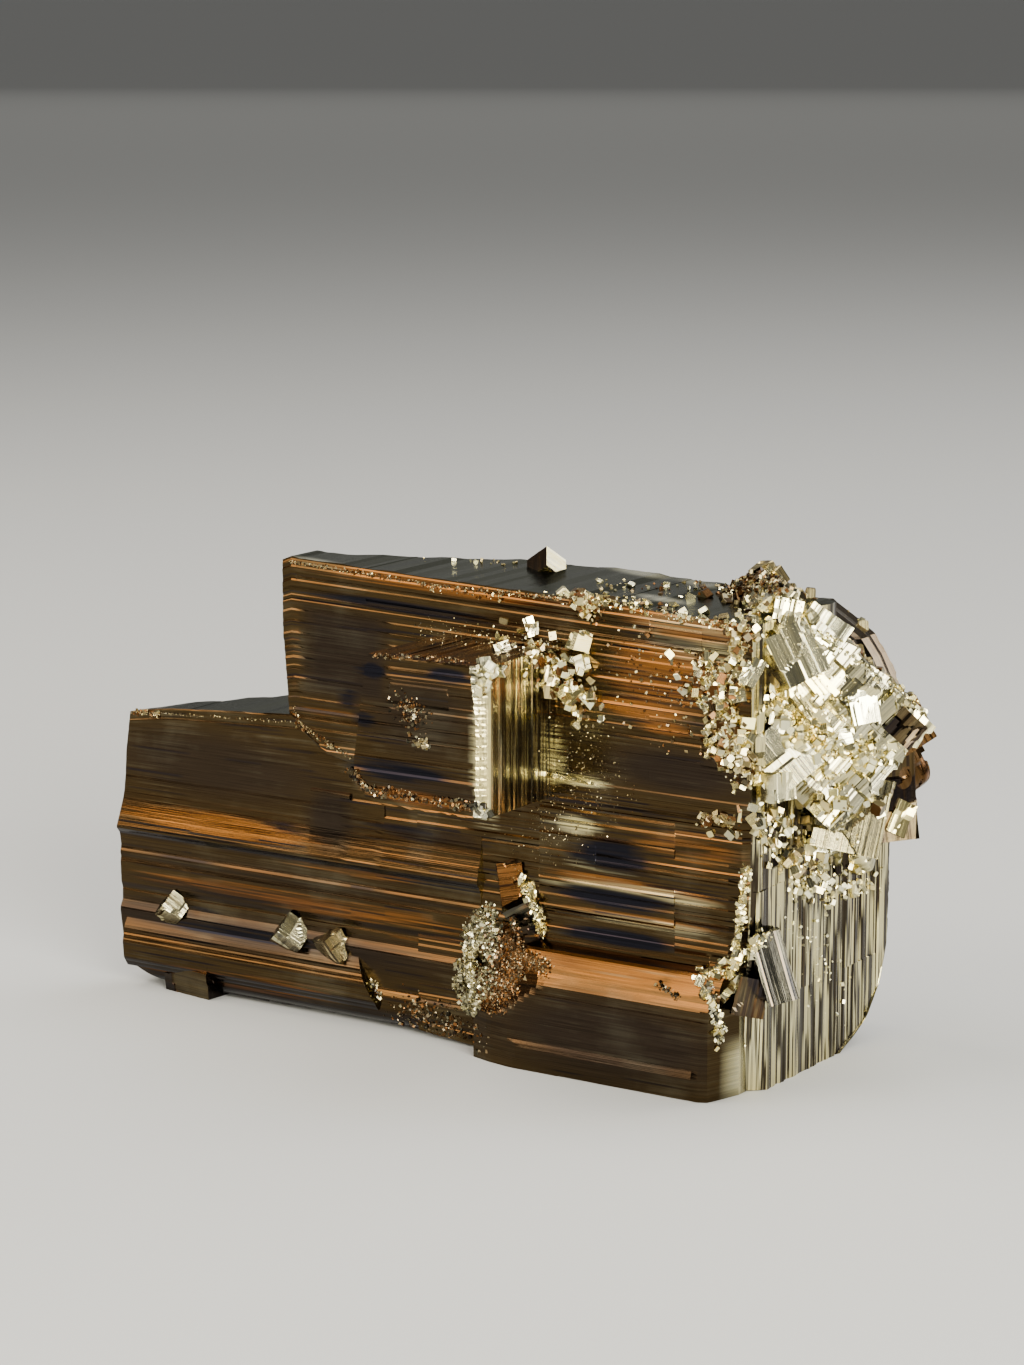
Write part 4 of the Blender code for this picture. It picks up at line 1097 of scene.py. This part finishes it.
# Crumbs are left out below this height, in metres, and are whole cubes below this edge
CRUMB_FLOOR = 0.0005
WHOLE_BELOW = 0.35


def crust(scatter, tree, aim, path, half_width, count, edges, finishes):
    """Sink small crystals into what lies along a path."""
    dice = scatter.dice
    sizes = bpy.context.scene.pyrite_sizes
    clumps = dice.uniform(5.0, 9.0), dice.uniform(0.0, math.tau)
    for _ in range(round(count * sizes.crumb_share)):
        share = dice.random()
        middle = along_path(path, share)
        width = half_width * (0.45 + 0.95 * abs(math.sin(share * clumps[0] + clumps[1])))
        angle, reach = dice.uniform(0.0, math.tau), width * dice.random() ** 0.7
        start, direction = AIMS[aim](middle.x + reach * math.cos(angle), middle.y + reach * math.sin(angle))
        hit, normal, _, _ = tree.ray_cast(start * MM, direction)
        grown = edges[0] + (edges[1] - edges[0]) * dice.random() ** 2.2
        turn = [dice.uniform(-CRUMB_TURN, CRUMB_TURN) for _ in range(3)]
        if dice.random() < COMMON_SHARE:
            turn = [angle + dice.gauss(0.0, COMMON_SPREAD) for angle in dice.choice(COMMON_TURNS)]
        finish = dice.choice(finishes.split())
        shares = (1.0, dice.uniform(0.5, 1.1), dice.uniform(0.55, 1.25))
        if hit is None or hit.z < CRUMB_FLOOR:
            continue
        edge = grown * sizes.crumb_scale
        centre = hit / MM + normal * edge * dice.uniform(-0.3, 0.16)
        scatter.add(placed(centre, turn), [edge * part for part in shares], finish, edge < WHOLE_BELOW)


# ---------------------------------------------------------------- metal

def node(tree, kind, place, **settings):
    made = tree.nodes.new(kind)
    made.location = place
    for name, value in settings.items():
        setattr(made, name, value)
    return made


def build_material(colours):
    """Metal whose colour follows the films with their painted highlights and painted shade, with fine grain
    along the striae.
    """
    material = bpy.data.materials.new(METAL)
    material.use_nodes = True
    tree = material.node_tree
    shader = tree.nodes["Principled BSDF"]
    shader.inputs["Metallic"].default_value = 1.0

    def feed(socket, source):
        if isinstance(source, (tuple, float)):
            socket.default_value = source
        else:
            tree.links.new(source, socket)

    def layers(name, where):
        attribute = node(tree, "ShaderNodeAttribute", where, attribute_name=name)
        apart = node(tree, "ShaderNodeSeparateXYZ", (where[0] + 200, where[1]))
        feed(apart.inputs[0], attribute.outputs["Vector"])
        return apart.outputs

    def noise(vector, scale, detail, where, **settings):
        made = node(tree, "ShaderNodeTexNoise", where, **settings)
        feed(made.inputs["Scale"], scale)
        feed(made.inputs["Detail"], detail)
        feed(made.inputs["Vector"], vector)
        return made.outputs[0]

    def mixed(factor, first, second, where, blend="MIX"):
        mix = node(tree, "ShaderNodeMix", where, data_type="RGBA", blend_type=blend)
        for socket, source in ((0, factor), (6, first), (7, second)):
            feed(mix.inputs[socket], source)
        return mix.outputs[2]

    def remapped(value, low, high, to_low, to_high, where):
        mapped = node(tree, "ShaderNodeMapRange", where)
        for socket, source in enumerate((value, low, high, to_low, to_high)):
            feed(mapped.inputs[socket], source)
        return mapped.outputs[0]

    def worked(operation, sources, where, clamp=False):
        made = node(tree, "ShaderNodeMath", where, operation=operation, use_clamp=clamp)
        for socket, source in zip(made.inputs, sources):
            feed(socket, source)
        return made.outputs[0]

    def bumped(height, strength, distance, where):
        made = node(tree, "ShaderNodeBump", where)
        feed(made.inputs["Strength"], strength)
        feed(made.inputs["Distance"], distance)
        feed(made.inputs["Height"], height)
        return made

    def paint(name):
        return tuple(getattr(colours, name)) + (1.0,)

    bronze, amber, ink = layers("film", (-1500, 300))
    straw, ash, frost = layers("finish", (-1500, 0))
    place = node(tree, "ShaderNodeTexCoord", (-1500, -400)).outputs["Object"]
    grain = node(tree, "ShaderNodeUVMap", (-1500, -700), uv_map="grain")
    stretch = node(tree, "ShaderNodeMapping", (-1300, -700))
    stretch.inputs["Scale"].default_value = (0.15, 18.0, 1.0)
    feed(stretch.inputs["Vector"], grain.outputs[0])
    lines = noise(stretch.outputs[0], 6.0, 4.0, (-1100, -700), noise_dimensions="2D")
    clouds = noise(place, 160.0, 5.0, (-1100, -400))
    specks = noise(place, 2600.0, 2.0, (-1100, -100))

    cloudy = remapped(clouds, 0.35, 0.65, 0.0, 1.0, (-900, -400))
    streaky = remapped(lines, 0.3, 0.7, 0.0, 1.0, (-900, -700))
    patchy = remapped(clouds, 0.3, 0.7, 0.98, 1.06, (-900, -250))
    yellower = worked("MULTIPLY", (cloudy, streaky), (-700, -400), clamp=True)
    browner = worked("MULTIPLY", (bronze, patchy), (-700, 300), clamp=True)
    metal = mixed(yellower, paint("brass"), paint("straw"), (-500, 500))
    metal = mixed(straw, metal, paint("straw"), (-300, 500))
    metal = mixed(browner, metal, paint("bronze"), (-100, 500))
    metal = mixed(ash, metal, paint("ash"), (100, 500))
    metal = mixed(amber, metal, paint("amber"), (300, 500))
    metal = mixed(ink, metal, paint("ink"), (500, 500))
    shade = remapped(lines, 0.25, 0.75, 0.60, 1.34, (300, 200))
    grey = node(tree, "ShaderNodeCombineColor", (500, 200))
    for socket in grey.inputs[:3]:
        feed(socket, shade)
    feed(shader.inputs["Base Color"], mixed(1.0, metal, grey.outputs[0], (700, 400), blend="MULTIPLY"))
    edge = mixed(ash, (1.0, 1.0, 1.0, 1.0), paint("ash_edge"), (700, 700))
    feed(shader.inputs["Specular Tint"], edge)

    rough = remapped(lines, 0.3, 0.7, 0.10, 0.24, (300, -100))
    feed(shader.inputs["Roughness"], worked("MULTIPLY_ADD", (frost, 0.40, rough), (500, -100)))
    ridges = bumped(lines, 0.15, 0.00006, (500, -400))
    pits = bumped(specks, 0.12, 0.00004, (700, -400))
    feed(pits.inputs["Normal"], ridges.outputs[0])
    feed(shader.inputs["Normal"], pits.outputs[0])


# ---------------------------------------------------------------- operators

class PYRITE_OT_material(bpy.types.Operator):
    """Make the metal, its films and its painted highlights and shade"""
    bl_idname = "pyrite.material"
    bl_label = "Pyrite material"

    def execute(self, context):
        build_material(context.scene.pyrite_colours)
        return {"FINISHED"}


class PYRITE_OT_lower(bpy.types.Operator):
    """Grow the two halves of the long crystal, the rib along its foot and the toe"""
    bl_idname = "pyrite.lower"
    bl_label = "Lower crystals"

    def execute(self, context):
        kept(crystal("lower_left_crystal", (LEFT_END, FRONT, 0.6), (JOIN[1], LOWER_BACK, LOWER_TOP),
                     (1.3, 0.8, 0.2), (0.2, 0.035, 0.12), 201, widths=(2, 7),
                     breaks=((-36.0, -26.4, -19.8, -14.6, -10.2, -4.0), (), (19.6, 25.3)), patches=5,
                     bend=bend_lower_left, patched=True, panels=LEFT_PANELS))
        kept(crystal("lower_right_crystal", (JOIN[0], FRONT - 0.1, 0.0), (RIGHT_END, 20.0, 32.6),
                     (1.3, 0.24, 0.19), (0.2, 0.10, 0.12), 203, widths=(1, 4),
                     breaks=((-0.5, 3.4, 9.2, 16.0, 21.4, 25.3, 29.4), (), (9.0, 21.0)), patches=16,
                     bend=bend_lower_right, patched=True, panels=RIGHT_PANELS))
        kept(crystal("lower_rib", (LEFT_END + 0.8, -9.8, 2.2), (RIB_END, RIB_BACK, 8.5),
                     (1.6, 1.2, 0.18), (0.1, 0.05, 0.05), 205, bend=bend_rib, patched=True,
                     coats={"right": (0.85, 0.0, 0.1, 0.0, 0.1)}))
        kept(crystal("toe_block", (TOE_X[0], TOE_FRONT, 0.0), (TOE_X[1], TOE_ROOT, TOE_TOP),
                     (0.7, 0.5, 0.18), (0.15, 0.025, 0.05), 207, widths=(3, 9),
                     breaks=((14.0, 24.6), (), ()), patches=1, bend=bend_toe, patched=True,
                     coats={"right": (0.7, 0.0, 0.3, 0.0, 0.1)}))
        return {"FINISHED"}


class PYRITE_OT_upper(bpy.types.Operator):
    """Grow the upper crystal and the small block on the front"""
    bl_idname = "pyrite.upper"
    bl_label = "Upper crystal and front block"

    def execute(self, context):
        kept(crystal("upper_crystal", (UPPER_LEFT, UPPER_FRONT, UPPER_FOOT),
                     (RIGHT_END, UPPER_BACK, UPPER_TOP), (1.1, 0.4, 0.18), (0.2, 0.088, 0.14), 211,
                     widths=(1, 4), breaks=((-21.0, -12.0, 3.0, 11.6, 17.0, 22.5, 28.5), (), ()),
                     patches=16, bend=bend_upper, patched=True))
        kept(crystal("front_block", (BLOCK_X[0], BLOCK_FRONT, BLOCK_Z[0]), (BLOCK_X[1], -4.0, BLOCK_Z[1]),
                     (0.5, 0.24, 0.2), (0.09, 0.08, 0.12), 213, widths=(1, 3),
                     breaks=((-1.0, 3.0, 7.4), (), ()), patches=9, bend=bend_block, patched=True,
                     coats={"top": (1.0, 0.0, 0.2, 0.5, 0.0), "right": (0.0, 0.12, 0.34, 0.0, 0.0)}))
        return {"FINISHED"}


class PYRITE_OT_cap(bpy.types.Operator):
    """Grow the tilted crystal that caps the right end"""
    bl_idname = "pyrite.cap"
    bl_label = "Cap crystal"

    def execute(self, context):
        fresh = {name: (0.10, 0.0, 0.22, 0.0, 0.5) for name in COATS_AND_SHADE}
        kept(loose_crystal("cap_crystal", CAP_SIZE, placed(CAP_CENTRE, CAP_ANGLES), (0.8, 0.25, 0.26),
                           (0.07, 0.1, 0.1), 221, widths=(1, 4), breaks=((), (), (-4.0, -1.0, 3.0)),
                           patches=10, coats=fresh,
                           broken=(("right", "top", "front", "back"), 90, 0.2, 0.22)))
        return {"FINISHED"}


class PYRITE_OT_rear(bpy.types.Operator):
    """Grow the crystals behind"""
    bl_idname = "pyrite.rear"
    bl_label = "Rear crystals"

    def execute(self, context):
        kept(crystal("back_right_crystal", (6.2, 3.0, 9.0), (BACK_RIGHT_END, BACK_FACE, 45.5),
                     (0.8, 0.6, 0.3), (0.3, 0.3, 0.2), 231, breaks=((12.0, 20.0, 27.0), (), ()),
                     patches=10, bend=bend_back_right,
                     coats={"right": (0.9, 0.0, 0.12, 0.25, 0.0), "top": (0.8, 0.3, 0.05, 0.25, 0.0)}))
        kept(crystal("back_left_crystal", (-28.0, -4.0, 3.8), (-6.2, BACK_FACE - 0.2, 25.0),
                     (0.8, 0.6, 0.3), (0.3, 0.3, 0.2), 233, breaks=((-20.0, -12.0), (), ()), patches=8))
        blocks = []
        for number, (centre, size, angles) in enumerate(REAR_BLOCKS):
            blocks.append(loose_crystal("rear_block", size, placed(centre, angles), (0.4, 0.4, 0.4),
                                        (0.2, 0.2, 0.2), 241 + number, widths=(1, 5)))
        kept(joined("rear_blocks", blocks))
        return {"FINISHED"}


class PYRITE_OT_gems(bpy.types.Operator):
    """Grow the named small crystals, and the crumbs and grains that the solid has"""
    bl_idname = "pyrite.gems"
    bl_label = "Small crystals"

    def execute(self, context):
        groups = {"front_gems": [], "right_gems": [], "rear_gems": []}
        for number, (name, centre, size, angles, finish) in enumerate(GEMS):
            coats = coated(finish, 0.12, 0.4)
            if name == "top_gem":
                coats.update(TOP_GEM_COATS)
            relief = FRESH_RELIEF if finish in FRESH_FINISHES else COATED_RELIEF
            gem = loose_crystal(name, size, placed(centre, angles), (0.24, 0.24, 0.24), (relief,) * 3,
                                301 + number, widths=(1, 4), coats=coats,
                                bend=rounded(size) if name in ROUNDED else None,
                                broken=() if name in UNBROKEN else BREAKAGE)
            side = "front_gems" if centre[1] < -6.0 and centre[0] < 20.0 else "right_gems"
            if centre[1] > 12.0 and centre[0] < 30.0 or name in REAR_GEMS:
                side = "rear_gems"
            groups[side].append(gem)
        for name, things in groups.items():
            kept(joined(name, things))

        crumbs = Scatter("crumbs", 7)
        places = random.Random(7)
        for _, count, start, end, spread, smallest, largest in CRUMBS:
            for number in range(count):
                along = (number + places.random()) / count
                centre = Vector(start).lerp(Vector(end), along)
                centre += Vector(reach * places.uniform(-1.0, 1.0) for reach in spread)
                edge = places.uniform(smallest, largest)
                size = (edge, edge * places.uniform(0.7, 1.1), edge * places.uniform(0.7, 1.2))
                angles = [places.uniform(-CRUMB_TURN, CRUMB_TURN) for _ in range(3)]
                size = [extent * CRUMB_SHARE for extent in size]
                crumbs.add(placed(centre, angles), size, crumbs.dice.choice(CRUMB_FINISHES), False)
        places = random.Random(19)
        above_left, left, below, right = (Vector(corner) for corner in BREAK_CORNERS)
        for _ in range(GRAINS):
            across, down = places.random(), places.random()
            centre = above_left.lerp(right, across).lerp(left.lerp(below, across), down)
            edge = places.uniform(*GRAIN_EDGE)
            angles = [places.uniform(-CRUMB_TURN, CRUMB_TURN) for _ in range(3)]
            crumbs.add(placed(centre, angles), [edge * CRUMB_SHARE] * 3, "brown", False)
        crumbs.piece()
        return {"FINISHED"}


class PYRITE_OT_crusts(bpy.types.Operator):
    """Lay the plates, and sink the crusts, dust and druses into the crystals"""
    bl_idname = "pyrite.crusts"
    bl_label = "Crusts and druses"

    def execute(self, context):
        tree = carrier()
        plates = []
        for number, (across, down, size, facing, angle, rise, relief, finish) in enumerate(PLATES):
            matrix = plate(tree, (across, down), size, facing, angle, rise)
            plates.append(loose_crystal("plate", size, matrix, (0.2, 0.4, 0.4), (relief,) * 3,
                                        351 + number, widths=(1, 3), coats=coated(finish, 0.06, 0.5),
                                        broken=(("top",), 5, 0.1, 0.08)))
        kept(joined("cap_plates", plates))
        tree = carrier()
        seed = 401
        for aim, crusts in CRUSTS.items():
            for name, *settings in crusts:
                scatter = Scatter(name, seed)
                crust(scatter, tree, aim, *settings)
                scatter.piece()
                seed += 1
        return {"FINISHED"}


# ---------------------------------------------------------------- stage

LIGHT_AIM = Vector((0.0, 0.0, 0.025))
# Soft lights: name, direction from the cluster, distance, width and height, power, colour
LIGHTS = (
    ("right_light", (0.80, -0.52, 0.30), 0.60, (0.34, 0.28), 8.0, (1.0, 0.97, 0.88)),
    ("front_left_light", (-0.54, -0.66, 0.52), 0.65, (0.36, 0.54), 3.5, (1.0, 0.93, 0.80)),
    ("left_light", (-0.55, -0.04, 0.84), 0.60, (0.30, 0.30), 1.8, (1.0, 0.93, 0.84)),
    ("overhead_light", (0.2, 0.35, 1.0), 0.8, (0.5, 0.5), 4.0, (1.0, 1.0, 1.0)),
    ("back_left_light", (-0.54, 0.82, 0.27), 3.0, (2.6, 0.9), 3.0, (1.0, 0.99, 0.94)),
    ("back_light", (0.5, 0.8, 0.35), 0.9, (0.5, 0.3), 3.0, (1.0, 1.0, 1.0)),
)
# Light from all sides, and how rough the floor is
SKY_COLOUR = (0.51, 0.51, 0.50, 1.0)
SKY_STRENGTH = 0.35
FLOOR_ROUGHNESS = 0.6


class PYRITE_OT_stage(bpy.types.Operator):
    """Set the pale floor, the soft lights and the camera"""
    bl_idname = "pyrite.stage"
    bl_label = "Stage"

    def execute(self, context):
        scene = context.scene
        shape = bmesh.new()
        bmesh.ops.create_circle(shape, cap_ends=True, segments=96, radius=scene.pyrite_sizes.floor_radius)
        material = bpy.data.materials.new("floor")
        material.use_nodes = True
        shader = material.node_tree.nodes["Principled BSDF"]
        shader.inputs["Base Color"].default_value = tuple(scene.pyrite_colours.floor) + (1.0,)
        shader.inputs["Roughness"].default_value = FLOOR_ROUGHNESS
        floor = shown("floor", meshed(shape, "floor"), material)

        for name, towards, distance, size, power, colour in LIGHTS:
            lamp = bpy.data.lights.new(name, "AREA")
            lamp.shape = "RECTANGLE"
            lamp.size, lamp.size_y = size
            lamp.energy = power
            lamp.color = colour
            thing = bpy.data.objects.new(name, lamp)
            direction = Vector(towards).normalized()
            thing.location = LIGHT_AIM + direction * distance
            thing.rotation_euler = direction.to_track_quat("Z", "Y").to_euler()
            scene.collection.objects.link(thing)

        world = bpy.data.worlds.new("studio")
        world.use_nodes = True
        background = world.node_tree.nodes["Background"]
        background.inputs["Color"].default_value = SKY_COLOUR
        background.inputs["Strength"].default_value = SKY_STRENGTH
        scene.world = world

        lens = bpy.data.cameras.new("camera")
        lens.sensor_fit = "AUTO"
        lens.sensor_width = 36.0
        lens.lens = LENS
        lens.clip_start = 0.01
        lens.clip_end = 60.0
        lens.dof.use_dof = False
        camera = bpy.data.objects.new("camera", lens)
        right, up, back = camera_axes()
        turned = Matrix((right, up, back)).transposed().to_4x4()
        camera.matrix_world = Matrix.Translation(Vector(EYE) * MM) @ turned
        scene.collection.objects.link(camera)
        scene.camera = camera
        return {"FINISHED"}


# ---------------------------------------------------------------- panel and main

class PYRITE_PT_panel(bpy.types.Panel):
    bl_label = "Pyrite cluster"
    bl_idname = "PYRITE_PT_panel"
    bl_space_type = "VIEW_3D"
    bl_region_type = "UI"
    bl_category = "Pyrite"

    def draw(self, context):
        for group in (context.scene.pyrite_sizes, context.scene.pyrite_colours):
            for name in group.bl_rna.properties.keys():
                if name not in ("rna_type", "name"):
                    self.layout.prop(group, name)
        for step in STEPS:
            self.layout.operator(step.bl_idname)


STEPS = (PYRITE_OT_material, PYRITE_OT_lower, PYRITE_OT_upper, PYRITE_OT_cap, PYRITE_OT_rear,
         PYRITE_OT_gems, PYRITE_OT_crusts, PYRITE_OT_stage)
CLASSES = (PyriteSizes, PyriteColours) + STEPS + (PYRITE_PT_panel,)


def register():
    for made in CLASSES:
        bpy.utils.register_class(made)
    bpy.types.Scene.pyrite_sizes = bpy.props.PointerProperty(type=PyriteSizes)
    bpy.types.Scene.pyrite_colours = bpy.props.PointerProperty(type=PyriteColours)


def unregister():
    del bpy.types.Scene.pyrite_colours
    del bpy.types.Scene.pyrite_sizes
    for made in reversed(CLASSES):
        bpy.utils.unregister_class(made)


def main():
    register()
    bpy.ops.pyrite.material()
    bpy.ops.pyrite.lower()
    bpy.ops.pyrite.upper()
    bpy.ops.pyrite.cap()
    bpy.ops.pyrite.rear()
    bpy.ops.pyrite.gems()
    bpy.ops.pyrite.crusts()
    bpy.ops.pyrite.stage()


if __name__ == "__main__":
    main()
